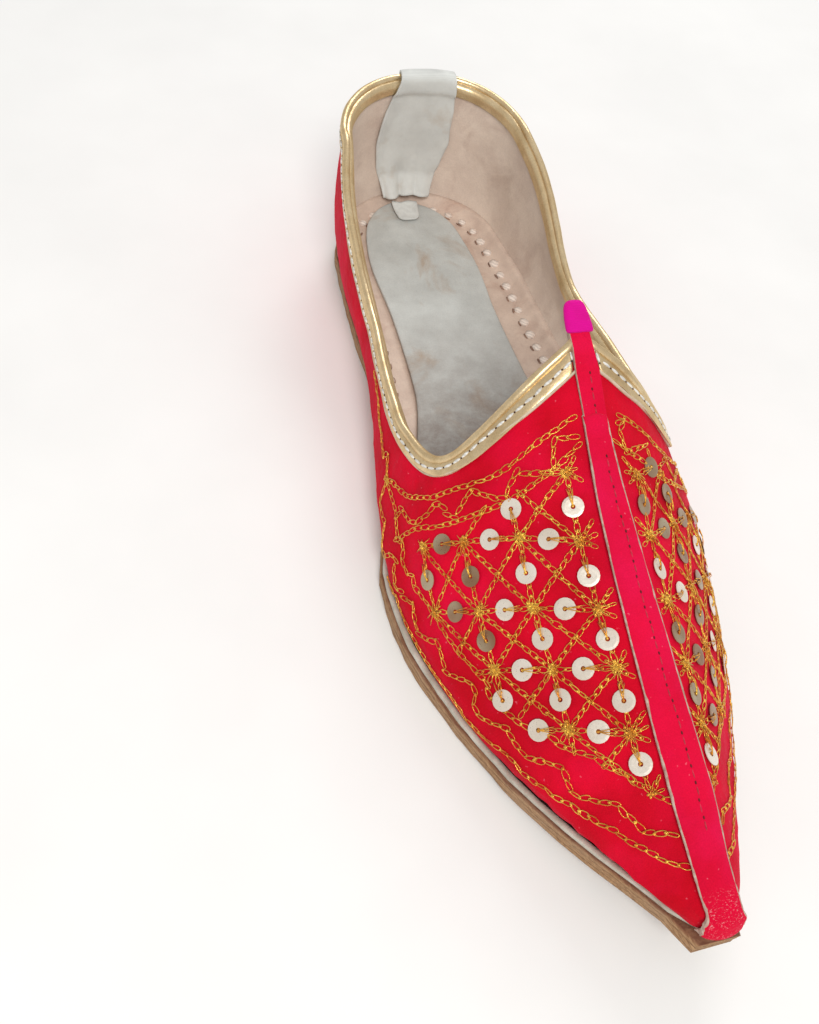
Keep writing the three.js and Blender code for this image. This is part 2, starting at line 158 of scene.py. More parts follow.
def place_on(mat, scale=(1, 1, 1)):
    at = node(mat, "TexCoord", output=3)
    return at if scale == (1, 1, 1) else node(mat, "Mapping", Vector=at, Scale=scale)


def grain(mat, size, detail=4, rough=0.55, stretch=(1, 1, 1), distort=0.0):
    at = place_on(mat, stretch)
    return node(mat, "TexNoise", Vector=at, Scale=1 / (size * MM), Detail=detail, Roughness=rough, Distortion=distort)


def ramp(mat, value, *stops):
    made = mat.node_tree.nodes.new("ShaderNodeValToRGB")
    for k, (at, colour) in enumerate(stops):
        stop = made.color_ramp.elements[k] if k < 2 else made.color_ramp.elements.new(at)
        colour = colour if hasattr(colour, "__len__") else (colour, colour, colour)
        stop.position, stop.color = at, (*colour, 1)
    mat.node_tree.links.new(value, made.inputs[0])
    return made.outputs[0]


def mix(mat, share, a, b, mode="MIX"):
    a, b = (c if isinstance(c, bpy.types.NodeSocket) else (*c, 1) for c in (a, b))
    return node(mat, "Mix", output=2, settings={"data_type": "RGBA", "blend_type": mode}, i0=share, i6=a, i7=b)


def maths(mat, kind, a, b=0.0, c=0.0):
    return node(mat, "Math", settings={"operation": kind}, i0=a, i1=b, i2=c)


def relief(mat, shader, *layers):
    """Bumps one on another, each a height, its strength and its depth in millimetres."""
    under = None
    for height, strength, depth in layers:
        inputs = dict(Height=height, Strength=strength, Distance=depth * MM)
        if under is not None:
            inputs["Normal"] = under
        under = node(mat, "Bump", **inputs)
    mat.node_tree.links.new(under, shader.inputs["Normal"])


def wire(mat, value, shader, socket):
    mat.node_tree.links.new(value, shader.inputs[socket])


def along_shoe(mat, start, end):
    """0 before start and 1 past end, both in millimetres from the heel."""
    y = node(mat, "SeparateXYZ", output=1, Vector=node(mat, "TexCoord", output=3))
    low, high = HEEL_Y - start * MM, HEEL_Y - end * MM
    return node(mat, "MapRange", i0=y, i1=low, i2=high, i3=0.0, i4=1.0)


print("helpers ready")

# %% [markdown]
# The red cloth is a silk velvet glued over leather. A low sheen lifts its edges to pink, a short pile gives it a
# grain far finer than a stitch, and large soft patches keep it from looking like paint; pinker patches among them
# are painted sheen. Towards the toe it is rubbed, and pale flecks of the backing come through.

# %% Red cloth
def red_cloth(name, bright, dark, flecks, start):
    mat, shader = material(name, Roughness=0.85, Sheen_Weight=0.1, Sheen_Roughness=0.4,
                           Sheen_Tint=(1, 0.25, 0.4, 1), Specular_IOR_Level=0.1)
    patches = ramp(mat, grain(mat, 22, detail=3), (0.35, 0.0), (0.7, 1.0))
    colour = mix(mat, patches, dark, bright)
    # Pinker patches at random places: painted sheen on the velvet.
    painted_sheen = ramp(mat, grain(mat, 31, detail=4, rough=0.6), (0.48, 0.0), (0.7, 0.75))
    colour = mix(mat, painted_sheen, colour, (bright[0], bright[1] * 2, bright[2] * 1.7))
    pile = grain(mat, 0.35, detail=3)
    colour = mix(mat, 0.35, colour, ramp(mat, pile, (0.3, 0.55), (0.7, 1.0)), "MULTIPLY")
    lint = ramp(mat, grain(mat, 1.1, detail=2, rough=0.4), (0.73, 0.0), (0.78, 1.0))
    colour = mix(mat, maths(mat, "MULTIPLY", lint, 0.35), colour, (0.85, 0.22, 0.3))
    worn = ramp(mat, grain(mat, 0.6, detail=5, rough=0.75, stretch=(1, 2, 1)), (flecks, 0.0), (flecks + 0.06, 1.0))
    toe = along_shoe(mat, start, start + 6)
    toe = maths(mat, "MULTIPLY", toe, ramp(mat, grain(mat, 5, detail=3), (0.38, 0.15), (0.6, 0.9)))
    rubbed = maths(mat, "MULTIPLY", worn, toe)
    colour = mix(mat, rubbed, colour, (0.78, 0.42, 0.45))
    wire(mat, colour, shader, "Base Color")
    relief(mat, shader, (grain(mat, 9, detail=2), 0.55, 1.5), (grain(mat, 3, detail=3), 0.55, 0.6), (pile, 0.35, 0.12))
    return mat


RED = red_cloth("red_velvet", (0.80, 0.0015, 0.028), (0.54, 0.001, 0.012), 0.72, 254)
# The strap's velvet is lighter and pinker than the vamp's: painted light on the top of the shoe, which faces the lamp.
# It also shows more pale flecks, which is wear.
LIT_STRAP_RED = red_cloth("red_strap_velvet_painted_light", (0.80, 0.003, 0.048), (0.64, 0.002, 0.03), 0.57, 258)
print("red cloth on", RED.name, "and", LIT_STRAP_RED.name)

# %% [markdown]
# Plain leather comes in several finishes: the beige lining, the footbed, the grey-white foot pad, darker towards the
# ball with a foot's grime and with painted shade of the vamp, the pale rand and raw cut edges. They share a pore
# pattern, and differ in colour, stain, gloss and wear, so one function makes them all. The near-black insides of holes
# and of the rand's groove are painted shade from the same function.

# %% Lining and raw leather
def leather(name, light, dark, rough=0.6, stain=None, blotch=14, pore=0.8, tread_and_shade=None):
    mat, shader = material(name, Roughness=rough, Specular_IOR_Level=0.3)
    colour = mix(mat, ramp(mat, grain(mat, blotch, detail=5, rough=0.6), (0.32, 0.0), (0.68, 1.0)), dark, light)
    if stain:
        mark = ramp(mat, grain(mat, blotch * 1.7, detail=6, rough=0.62, distort=0.6), (0.55, 0.0), (0.72, 1.0))
        colour = mix(mat, maths(mat, "MULTIPLY", mark, 0.7), colour, stain)
    # The front of the pad, under the vamp, is darker: partly a foot's grime, partly painted shade of the vamp.
    if tread_and_shade:
        start, end, grime_and_shade = tread_and_shade
        foot = ramp(mat, grain(mat, 6, detail=6, rough=0.7), (0.3, 0.45), (0.62, 0.95))
        colour = mix(mat, maths(mat, "MULTIPLY", along_shoe(mat, start, end), foot), colour, grime_and_shade)
    pores = node(mat, "TexVoronoi", Vector=place_on(mat), Scale=1 / (pore * MM), Randomness=1.0)
    dust = grain(mat, 0.5, detail=4, rough=0.7)
    colour = mix(mat, 0.3, colour, ramp(mat, dust, (0.25, 0.6), (0.65, 1.0)), "MULTIPLY")
    wire(mat, colour, shader, "Base Color")
    relief(mat, shader, (grain(mat, 7, detail=3), 0.3, 1.0), (pores, 0.25, 0.12), (dust, 0.3, 0.12))
    return mat


LINING = leather("beige_lining", (0.83, 0.70, 0.60), (0.66, 0.53, 0.45), rough=0.5,
                 stain=(0.46, 0.32, 0.26), blotch=16)
FOOTBED = leather("footbed_leather", (0.74, 0.59, 0.49), (0.60, 0.46, 0.38), rough=0.55,
                  stain=(0.5, 0.33, 0.26), blotch=7)
RAW = leather("raw_edge_leather", (0.60, 0.46, 0.38), (0.34, 0.19, 0.15), rough=0.9,
              stain=(0.66, 0.55, 0.47), blotch=1.6, pore=0.4)
RAND = leather("pale_rand", (0.62, 0.59, 0.52), (0.42, 0.38, 0.31), stain=(0.28, 0.2, 0.14), blotch=6, pore=0.6)
PAD = leather("foot_pad_leather", (0.62, 0.64, 0.62), (0.50, 0.51, 0.49), rough=0.62,
              stain=(0.42, 0.31, 0.22), blotch=11, pore=0.5, tread_and_shade=(60, 128, (0.215, 0.16, 0.135)))
# The near black of the needle holes is painted shade in the holes.
HOLE_SHADE = leather("needle_hole_painted_shade", (0.09, 0.035, 0.03), (0.03, 0.012, 0.01), rough=0.9, blotch=1)
print("leathers", LINING.name, RAND.name, PAD.name)

# %% [markdown]
# The sole's edge is cut through stacked leather, so it shows thin layers. They follow the sole up to the toe, and
# that is why the edge carries its own height as an attribute, from 0 on the ground to 1 at the top. The cut fibres
# run along it, so the grain is drawn out lengthwise.

# %% Stacked leather of the sole
def stacked_leather():
    mat, shader = material("stacked_sole_leather", Roughness=0.78, Specular_IOR_Level=0.25)
    height = node(mat, "Attribute", output=2, settings={"attribute_name": "tier"})
    wander = grain(mat, 12, detail=3, stretch=(1, 1, 6))
    wander = node(mat, "MapRange", i0=wander, i1=0.3, i2=0.7, i3=-0.05, i4=0.05)
    tier = maths(mat, "ADD", height, wander)
    layer = maths(mat, "PINGPONG", maths(mat, "MULTIPLY", tier, 3.0), 0.5)
    fibre = grain(mat, 0.8, detail=5, rough=0.7, stretch=(1, 0.35, 2.2))
    colour = mix(mat, ramp(mat, fibre, (0.3, 0.0), (0.7, 1.0)), (0.19, 0.085, 0.035), (0.55, 0.34, 0.18))
    patch = ramp(mat, grain(mat, 15, detail=4), (0.4, 0.0), (0.65, 1.0))
    colour = mix(mat, maths(mat, "MULTIPLY", patch, 0.45), colour, (0.45, 0.31, 0.2))
    colour = mix(mat, ramp(mat, layer, (0.0, 0.75), (0.1, 0.0)), colour, (0.075, 0.025, 0.012))
    colour = mix(mat, ramp(mat, tier, (0.86, 0.0), (0.95, 0.6)), colour, (0.16, 0.05, 0.03))
    wire(mat, colour, shader, "Base Color")
    relief(mat, shader, (layer, 0.6, 0.25), (fibre, 0.7, 0.35), (grain(mat, 0.25, detail=3), 0.4, 0.1))
    return mat


SOLE = stacked_leather()
print("stacked leather", SOLE.name)

# %% [markdown]
# The binding is leather with gold foil pressed on it: metal to the light, but creased like skin. The foil is
# duller and browner where it has been handled, which here is a roughness and a colour that change together.
# Thread is the colour of its fibre with a fine wave for its twist. A sequin is stamped from thin sheet and brushed
# a little dull; some are brown, painted shade and a painted reflection of the red cloth, a second finish from the same
# function.

# %% Gold foil leather, thread and sequins
def gold_foil():
    mat, shader = material("gold_foil_leather", Metallic=0.82, Specular_Tint=(1, 0.9, 0.7, 1))
    worn = ramp(mat, grain(mat, 6, detail=4), (0.35, 0.0), (0.7, 1.0))
    colour = mix(mat, worn, (0.86, 0.68, 0.42), (0.66, 0.48, 0.26))
    speck = ramp(mat, grain(mat, 0.4, detail=3), (0.3, 0.72), (0.65, 1.0))
    wire(mat, mix(mat, 0.6, colour, speck, "MULTIPLY"), shader, "Base Color")
    wire(mat, node(mat, "MapRange", i0=worn, i3=0.3, i4=0.44), shader, "Roughness")
    creases = grain(mat, 2.2, detail=3, distort=0.4)
    relief(mat, shader, (creases, 0.35, 0.35), (grain(mat, 0.3, detail=2), 0.25, 0.08))
    return mat


def thread(name, bright, dark, metal, rough):
    mat, shader = material(name, Metallic=metal, Roughness=rough, Sheen_Weight=0.1)
    tone = ramp(mat, grain(mat, 3.5, detail=3), (0.35, 0.0), (0.65, 1.0))
    twist = node(mat, "TexWave", output=1, Vector=place_on(mat), Scale=350.0, Distortion=6.0, Detail=2.0,
                 settings={"bands_direction": "DIAGONAL"})
    colour = mix(mat, tone, dark, bright)
    wire(mat, mix(mat, 0.5, colour, ramp(mat, twist, (0.2, 0.55), (0.8, 1.0)), "MULTIPLY"), shader, "Base Color")
    relief(mat, shader, (twist, 0.5, 0.08))
    return mat


def sequin_metal(name, bright, dull):
    mat, shader = material(name, Metallic=0.5)
    tone = ramp(mat, grain(mat, 9, detail=1), (0.35, 0.0), (0.7, 1.0))
    brushed = grain(mat, 0.6, detail=4, rough=0.7)
    colour = mix(mat, tone, dull, bright)
    wire(mat, mix(mat, 0.14, colour, ramp(mat, brushed, (0.3, 0.7), (0.7, 1.0)), "MULTIPLY"), shader, "Base Color")
    wire(mat, node(mat, "MapRange", i0=brushed, i1=0.3, i2=0.7, i3=0.24, i4=0.42), shader, "Roughness")
    relief(mat, shader, (grain(mat, 2.5, detail=2), 0.12, 0.3), (brushed, 0.04, 0.03))
    return mat


GOLD = gold_foil()
ZARI = thread("zari_thread", (1.0, 0.63, 0.09), (0.72, 0.25, 0.015), 0.6, 0.28)
STITCH = thread("binding_thread", (0.86, 0.85, 0.81), (0.66, 0.64, 0.60), 0.0, 0.6)
RED_STITCH = thread("red_thread", (0.62, 0.01, 0.05), (0.38, 0.004, 0.02), 0.0, 0.7)
LINING_STITCH = thread("footbed_thong", (0.92, 0.82, 0.74), (0.80, 0.68, 0.60), 0.0, 0.6)
SEQUIN = sequin_metal("sequin_metal", (0.90, 0.83, 0.74), (0.78, 0.69, 0.58))
# A brown finish for sequins: painted shade and a painted reflection of the red cloth.
SHADED_SEQUIN_METAL = sequin_metal("sequin_metal_painted_shade_and_reflection", (0.44, 0.36, 0.24), (0.28, 0.15, 0.08))
print("metals", GOLD.name, ZARI.name, SEQUIN.name)

# %% [markdown]
# Two more cloths: the magenta satin cap and the grey-white cotton tape at the heel. Their weave is small enough
# for two crossed waves to draw it.

# %% Woven cloths
def woven(name, light, dark, pitch, rough, sheen, stain, blotch=8):
    mat, shader = material(name, Roughness=rough, Sheen_Weight=sheen, Specular_IOR_Level=0.1)
    weave = [node(mat, "TexWave", output=1, Vector=place_on(mat), Scale=1 / (pitch * MM) / 3.2, Distortion=1.5,
                  Detail=1.0, settings={"bands_direction": axis}) for axis in "XZ"]
    cross = maths(mat, "MAXIMUM", *weave)
    colour = mix(mat, ramp(mat, grain(mat, blotch, detail=4), (0.35, 0.0), (0.68, 1.0)), dark, light)
    mark = ramp(mat, grain(mat, blotch * 1.4, detail=5, rough=0.6), (0.54, 0.0), (0.74, 0.8))
    colour = mix(mat, mark, colour, stain)
    wire(mat, mix(mat, 0.25, colour, ramp(mat, cross, (0.2, 0.6), (0.9, 1.0)), "MULTIPLY"), shader, "Base Color")
    relief(mat, shader, (grain(mat, 3, detail=3), 0.3, 0.5), (cross, 0.35, 0.1))
    return mat


MAGENTA = woven("magenta_satin", (0.74, 0.001, 0.31), (0.64, 0.0005, 0.24), 0.2, 0.6, 0.03, (0.58, 0.001, 0.2))
TAPE = woven("heel_tape_cotton", (0.74, 0.755, 0.73), (0.62, 0.63, 0.61), 0.35, 0.8, 0.1, (0.52, 0.44, 0.36), 11)
print("cloths", MAGENTA.name, TAPE.name)

# %% [markdown]
# A solid comes in as loose triangles. A copy with its doubles merged and its triangles joined to four-sided faces
# takes a subdivision surface well, and that is how facets turn into leather. Which faces are the outside, the
# lining and the cut edges is found by spreading from face to face across every edge that isn't sharp.

# %% Helpers for smooth copies
def copy_of(name):
    bm = bmesh.new()
    bm.from_mesh(frame["nodes"][name].data)
    bmesh.ops.remove_doubles(bm, verts=bm.verts, dist=1e-6)
    bmesh.ops.join_triangles(bm, faces=bm.faces, angle_face_threshold=radians(40),
                             angle_shape_threshold=radians(60))
    return bm


def outwards(bm):
    bmesh.ops.recalc_face_normals(bm, faces=bm.faces)


def face_up(bm):
    """Turns an open sheet so that its faces look up."""
    outwards(bm)
    if sum(f.normal.z * f.calc_area() for f in bm.faces) < 0:
        bmesh.ops.reverse_faces(bm, faces=bm.faces)


def smoothed(bm, points):
    bmesh.ops.smooth_vert(bm, verts=points, factor=0.5, use_axis_x=True, use_axis_y=True, use_axis_z=True)


def vertices_in(made):
    return [g for g in made if isinstance(g, bmesh.types.BMVert)]


def edges_in(made):
    return [g for g in made if isinstance(g, bmesh.types.BMEdge)]


def skins(bm, sharp):
    """Faces in groups that meet at less than the sharp angle, the largest group first."""
    groups, seen = [], set()
    for first in bm.faces:
        if first in seen:
            continue
        seen.add(first)
        group, waiting = [], [first]
        while waiting:
            face = waiting.pop()
            group.append(face)
            for edge in face.edges:
                if len(edge.link_faces) == 2 and edge.calc_face_angle(0) < radians(sharp):
                    new = [f for f in edge.link_faces if f not in seen]
                    seen.update(new)
                    waiting += new
        groups.append(group)
    return sorted(groups, key=lambda group: -sum(f.calc_area() for f in group))


def piece_from(name, bm, *materials, levels=0):
    """A piece on the root body, with its subdivision, if any, already in its mesh."""
    mesh = bpy.data.meshes.new(name)
    bm.to_mesh(mesh)
    bm.free()
    for mat in materials:
        mesh.materials.append(mat)
    made = bpy.data.objects.new(name, mesh)
    bpy.context.scene.collection.objects.link(made)
    if levels:
        soft = made.modifiers.new("soft", "SUBSURF")
        soft.levels = soft.render_levels = levels
        seen = made.evaluated_get(bpy.context.evaluated_depsgraph_get())
        made.data = bpy.data.meshes.new_from_object(seen)
        made.modifiers.clear()
    made.data.shade_smooth()
    print(name, len(made.data.vertices), "points,", sum(len(f.vertices) - 2 for f in made.data.polygons), "triangles")
    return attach(made, "root")


def shift_points(made, amount):
    """Moves every point along its normal by amount(place, normal), in millimetres."""
    for v, normal in zip(made.data.vertices, [v.normal.copy() for v in made.data.vertices]):
        v.co += normal * amount(v.co, normal) * MM


def tree_of(made, index=None):
    polygons = [p.vertices[:] for p in made.data.polygons if index is None or p.material_index == index]
    return BVHTree.FromPolygons([v.co for v in made.data.vertices], polygons)


def loop_between(one, other):
    """The edges where two groups of faces meet, as one ring of points."""
    other = set(other)
    edges = dict.fromkeys(e for f in one for e in f.edges if any(g in other for g in e.link_faces))
    start = min(edges, key=lambda e: e.verts[0].co.z + e.verts[1].co.z)
    ring, last = [start.verts[0], start.verts[1]], start
    while True:
        onward = [e for e in ring[-1].link_edges if e in edges and e is not last]
        if not onward or onward[0].other_vert(ring[-1]) is ring[0]:
            return [v.co.copy() for v in ring]
        last = onward[0]
        ring.append(last.other_vert(ring[-1]))


print("helpers ready")

# %% [markdown]
# The upper is one hollow shell of velvet over lining leather, 1.8 mm through. It could be drawn anew, but a copy
# of the solid keeps its size, and two rounds of subdivision make its bulges even. The outer skin takes the velvet
# and everything else the lining. The rings where both skins meet the rim are kept for the binding.

# %% The upper's shell
shell_mesh = copy_of("upper")
groups = skins(shell_mesh, 50)
sides = {face: number for number in range(3) for face in groups[number]}
for group in groups:
    near = next((sides[f] for face in group for e in face.edges for f in e.link_faces if f in sides), 0)
    for face in group:
        face.material_index = min(1, sides.get(face, near))
rim_outer = loop_between(groups[0], groups[2])
rim_inner = loop_between(groups[1], groups[2])
shell = piece_from("upper_shell", shell_mesh, RED, LINING, levels=2)
print("rim of", len(rim_outer), "and", len(rim_inner), "points; skins", [len(g) for g in groups[:3]])

# %% [markdown]
# Folds, stitches and sequins lie on the curved skin, so their places are told as on cloth: by s, and by how far
# up from the sole they lie along the surface. For that the shell is surveyed. Rays go out from inside it in one
# cross-section after another, and the length along the hits is summed from the foot to the ridge.

# %% Survey of the outer skin
def survey(tree):
    table = {}
    for hand in (-1, 1):
        for s in range(100, 262, 2):
            middle = spot(0, s, 13 + lift(s))
            line = []
            for degrees in range(-50, 91, 2):
                ray = Vector((hand * cos(radians(degrees)), 0, sin(radians(degrees))))
                hit, start = None, middle + ray * 0.0002
                while True:
                    found = tree.ray_cast(start, ray)
                    if found[0] is None:
                        break
                    hit, start = found[0], found[0] + ray * 0.0002
                if hit is not None:
                    line.append(hit)
            lengths = [0.0]
            for a, b in zip(line, line[1:]):
                lengths.append(lengths[-1] + (b - a).length / MM)
            table[hand, s] = ([p / MM for p in line], lengths)
    return table


def on_section(hand, s, up):
    line, lengths = skin_table[hand, s]
    up = min(max(up, 0.0), lengths[-1])
    k = next((k for k in range(1, len(lengths)) if lengths[k] >= up), len(lengths) - 1)
    share = (up - lengths[k - 1]) / max(lengths[k] - lengths[k - 1], 1e-6)
    return line[k - 1].lerp(line[k], share)


def girth(hand, s):
    low = 2 * int(s // 2)
    a, b = skin_table[hand, low][1][-1], skin_table[hand, low + 2][1][-1]
    return a + (b - a) * (s - low) / 2


def on_skin(hand, s, up):
    """The place on the outer skin, and the normal there, at s and so far up from the sole."""
    low = 2 * int(s // 2)
    guess = on_section(hand, low, up).lerp(on_section(hand, low + 2, up), (s - low) / 2) * MM
    place, normal, *_ = skin_tree.find_nearest(guess)
    return place, normal


skin_tree = tree_of(shell, 0)
skin_table = survey(skin_tree)
print("girth from sole to ridge at 170, 200 and 240:", *[round(girth(-1, s), 1) for s in (170, 200, 240)])

# %% [markdown]
# Where a foot bends and a last is drawn out, the cloth keeps soft creases: at the throat's corners, beside the
# strap, behind the toe and just above the sole. Each is set as a line from one place to another. The
# lining gives way under a deep crease, and both sides keep a faint unevenness of their own.

# %% Folds pressed in
# hand, s and height at both ends, then width and depth in millimetres; a negative depth is a ridge
FOLDS = [
    (-1, 150, 14, 172, 9, 6, 0.7), (-1, 156, 24, 168, 30, 5, 0.35), (-1, 226, 7, 246, 19, 3.5, 0.7),
    (-1, 232, 5, 250, 14, 3.0, -0.35), (-1, 244, 3, 254, 12, 2.6, 0.6), (-1, 160, 44, 176, 50, 8, 0.3),
    (-1, 216, 1.5, 253, 1.5, 3.6, 1.3), (1, 216, 1.5, 253, 1.5, 3.6, 1.0), (-1, 200, 22, 226, 24, 9, 0.45),
    (-1, 118, 8, 138, 12, 7, 0.6), (-1, 190, 38, 212, 30, 8, -0.3), (1, 152, 12, 170, 10, 6, 0.6),
    (1, 158, 27, 171, 31, 5, 0.4), (1, 222, 9, 243, 17, 4, 0.6), (1, 236, 6, 252, 13, 3.2, 0.5),
    (1, 198, 26, 224, 20, 9, 0.4), (1, 116, 9, 140, 13, 7, 0.5), (1, 163, 47, 180, 44, 8, 0.3),
]
FOLD_STEPS, FOLD_BOW = 6, 1.5
folds = []
for hand, s0, up0, s1, up1, width, depth in FOLDS:
    line = []
    for k in range(FOLD_STEPS + 1):
        t = k / FOLD_STEPS
        line.append(on_skin(hand, s0 + (s1 - s0) * t, up0 + (up1 - up0) * t + sin(pi * t) * FOLD_BOW)[0])
    folds.append((line, width * MM, depth * MM))
outside = {v for p in shell.data.polygons if p.material_index == 0 for v in p.vertices}
normals = [v.normal.copy() for v in shell.data.vertices]
for v in shell.data.vertices:
    press = 0.0
    for line, width, depth in folds:
        near = min(range(len(line)), key=lambda k: (line[k] - v.co).length_squared)
        fade = sin(pi * (near + 1) / (len(line) + 1))
        press += depth * fade * exp(-(((line[near] - v.co).length / width) ** 2))
    if v.index in outside:
        rough = noise.noise(v.co * 60) * 0.35 + noise.noise(v.co * 160 + Vector((7, 0, 0))) * 0.2
        rough += noise.noise(v.co * 330) * 0.07
        v.co += normals[v.index] * (rough * MM - press)
    else:
        rough = noise.noise(v.co * 45) * 0.4 + noise.noise(v.co * 120) * 0.15
        v.co += normals[v.index] * (rough * MM + max(0, press))
shell.data.update()
skin_tree = tree_of(shell, 0)
lining_tree = tree_of(shell, 1)
skin_table = survey(skin_tree)
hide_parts("upper")
print(len(folds), "folds pressed in")

# %% [markdown]
# Long thin parts, such as the bead, the rolled edge and raw cut edges, are one section pushed along a path. The
# section starts as a small circle, and is extruded from one point of the path to the next and turned with it.

# %% Helpers for paths
def curve_through(points, step, closed=False):
    """Points about one step apart on a smooth curve through the given ones, all in metres."""
    count, fine = len(points), []
    at = (lambda k: points[k % count]) if closed else (lambda k: points[min(max(k, 0), count - 1)])
    for k in range(count if closed else count - 1):
        a, b, c, d = at(k - 1), at(k), at(k + 1), at(k + 2)
        parts = max(1, round((c - b).length / (step * MM)))
        for j in range(parts):
            t = j / parts
            fine.append(0.5 * (2 * b + (c - a) * t + (2 * a - 5 * b + 4 * c - d) * t * t
                               + (3 * b - a - 3 * c + d) * t**3))
    return fine if closed else fine + [points[-1].copy()]


def spaced(points, step):
    """Points exactly one step apart along a line, each with the direction there."""
    made, carried = [], 0.0
    for a, b in zip(points, points[1:]):
        length = (b - a).length
        while length > 1e-9 and carried <= length:
            made.append((a.lerp(b, carried / length), (b - a).normalized()))
            carried += step * MM
        carried -= length
    return made


def evened(ring, rounds=3):
    """A closed ring of points, each drawn towards its neighbours."""
    for _ in range(rounds):
        ring = [(ring[k - 1] + ring[k] * 2 + ring[(k + 1) % len(ring)]) / 4 for k in range(len(ring))]
    return ring


def frame_at(place, ahead, up):
    """A turn to a place, with x ahead and z close to up."""
    x = ahead.normalized()
    y = up.cross(x).normalized()
    return Matrix.Translation(place) @ Matrix((x, y, x.cross(y))).transposed().to_4x4()


def sweep(bm, path, ups, radius, sides=8, closed=False, flat=1.0):
    """A tube along a path. The section's height is flat times its width."""
    count = len(path)
    ahead = [(path[(k + 1) % count] - path[k - 1]) if closed else
             (path[min(k + 1, count - 1)] - path[max(k - 1, 0)]) for k in range(count)]
    frames = [frame_at(p, a, u) for p, a, u in zip(path, ahead, ups)]
    upright = frames[0] @ Matrix.Diagonal((1, 1, flat, 1)) @ turned(pi / 2, "Y")
    ring = bmesh.ops.create_circle(bm, segments=sides, radius=radius * MM, matrix=upright)["verts"]
    first = edges = list(dict.fromkeys(e for v in ring for e in v.link_edges))
    for before, after in zip(frames, frames[1:]):
        made = bmesh.ops.extrude_edge_only(bm, edges=edges)["geom"]
        edges = edges_in(made)
        bmesh.ops.transform(bm, verts=vertices_in(made), matrix=after @ before.inverted())
    if closed:
        bmesh.ops.bridge_loops(bm, edges=first + edges)
    else:
        for end in (first, edges):
            bmesh.ops.contextual_create(bm, geom=end)
    return bm


print("path helpers ready")

# %% [markdown]
# The binding is a ribbon of gold leather folded over the edge of the mouth. Its solid has the fold already, so a
# smoothed copy with a little unevenness is enough.

# %% Topline binding
binding = piece_from("gold_binding", copy_of("topline_binding"), GOLD, levels=2)
shift_points(binding, lambda p, n: noise.noise(p * 110) * 0.14 + noise.noise(p * 300) * 0.05)
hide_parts("topline_binding")
binding_tree = tree_of(binding)

# %% [markdown]
# Along the top the ribbon is turned over a cord, which shows as a rolled bead. It is a tube round the mouth, and
# so needs a line and two directions at every point of it: outward from the skin, and rimward, away from the shell
# along the skin. The line runs midway between the rim's two rings.

# %% Bead of the binding
BEAD, BEAD_OUT, BEAD_UP = 1.15, 1.15, 0.55
rim = [(a + min(rim_inner, key=lambda b: (b - a).length)) / 2 for a in rim_outer]
rim = curve_through(rim, 1.0, closed=True)
count = len(rim)
outward = [skin_tree.find_nearest(p)[1] for p in rim]
outward = [sum((outward[(k + j) % count] for j in range(-4, 5)), Vector()).normalized() for k in range(count)]
rimward = []
for k, p in enumerate(rim):
    away = (rim[(k + 1) % count] - rim[k - 1]).cross(outward[k]).normalized() * 4 * MM
    off_skin = [(skin_tree.find_nearest(q)[0] - q).length for q in (p + away, p - away)]
    rimward.append(away.normalized() if off_skin[0] > off_skin[1] else -away.normalized())
bead_line = [p + o * BEAD_OUT * MM + r * BEAD_UP * MM for p, o, r in zip(rim, outward, rimward)]
bead_mesh = sweep(bmesh.new(), bead_line, outward, BEAD, sides=12, closed=True)
outwards(bead_mesh)
bead = piece_from("binding_bead", bead_mesh, GOLD)
shift_points(bead, lambda p, n: noise.noise(p * 140) * 0.12)
print("rim", round(sum((rim[k] - rim[k - 1]).length for k in range(count)) / MM), "mm round")

# %% [markdown]
# A small part that is repeated is made once, as a mesh at the origin with its length along x and its top along z.
# Each copy is turned into place and added to one joined mesh.

# %% Helpers for repeated parts
def unit(bm):
    made = bpy.data.meshes.new("unit")
    bm.to_mesh(made)
    bm.free()
    return made


def joined(name, parts, *materials):
    """One piece from a unit mesh, a matrix and a material index for each copy."""
    bm = bmesh.new()
    for mesh, matrix, index in parts:
        mesh.transform(matrix)
        before = len(bm.faces)
        bm.from_mesh(mesh)
        mesh.transform(matrix.inverted())
        if index:
            bm.faces.ensure_lookup_table()
            for face in bm.faces[before:]:
                face.material_index = index
    print(len(parts), "copies in", name)
    return piece_from(name, bm, *materials)


def pill(length, width, height):
    bm = bmesh.new()
    shape = Matrix.Diagonal((length, width, height, 1)) @ turned(pi / 2, "Y")
    bmesh.ops.create_uvsphere(bm, u_segments=7, v_segments=6, radius=0.5, matrix=shape)
    bmesh.ops.scale(bm, verts=bm.verts, vec=(MM, MM, MM))
    return unit(bm)


def strand(radius, arch):
    """A thread one millimetre long, to be stretched along x."""
    path = [Vector((k / 4, 0, arch * sin(pi * k / 4))) * MM for k in range(5)]
    return unit(sweep(bmesh.new(), path, [Vector((0, 0, 1))] * 5, radius, sides=4))


def askew(amount, axis):
    """A small random turn to either side."""
    return turned(dice.uniform(-amount, amount), axis)


dice = Random(7)
print("units ready")

# %% [markdown]
# The binding is sewn down with one row of running stitch in grey-white cotton. The row lies a little below the
# middle of the ribbon, which widens from the sides towards the ridge. Every stitch comes out of a needle hole, so a
# small dark pill, painted shade of the hole, goes before each pale one.

# %% Stitches of the binding
STITCH_PITCH, STITCH_ROW = 3.0, 0.58
STITCH_UNIT, HOLE_UNIT = pill(2.55, 0.8, 0.62), pill(0.5, 0.5, 0.3)


def smooth(value, low, high):
    """0 up to low and 1 from high on, with a soft start and end."""
    t = min(max((value - low) / (high - low), 0), 1)
    return t * t * (3 - 2 * t)


def reach(p):
    """How far the ribbon comes down from the rim, in millimetres."""
    return 3.4 + 1.5 * smooth(p.z / MM, 50, 64) * smooth(along(p), 125, 140)


def below_rim(tree, out, down):
    """For each point of the rim, the place and normal on a surface so far out and down from it."""
    return [tree.find_nearest(p + o * out * MM - r * down(p) * MM)[:2] for p, o, r in zip(rim, outward, rimward)]


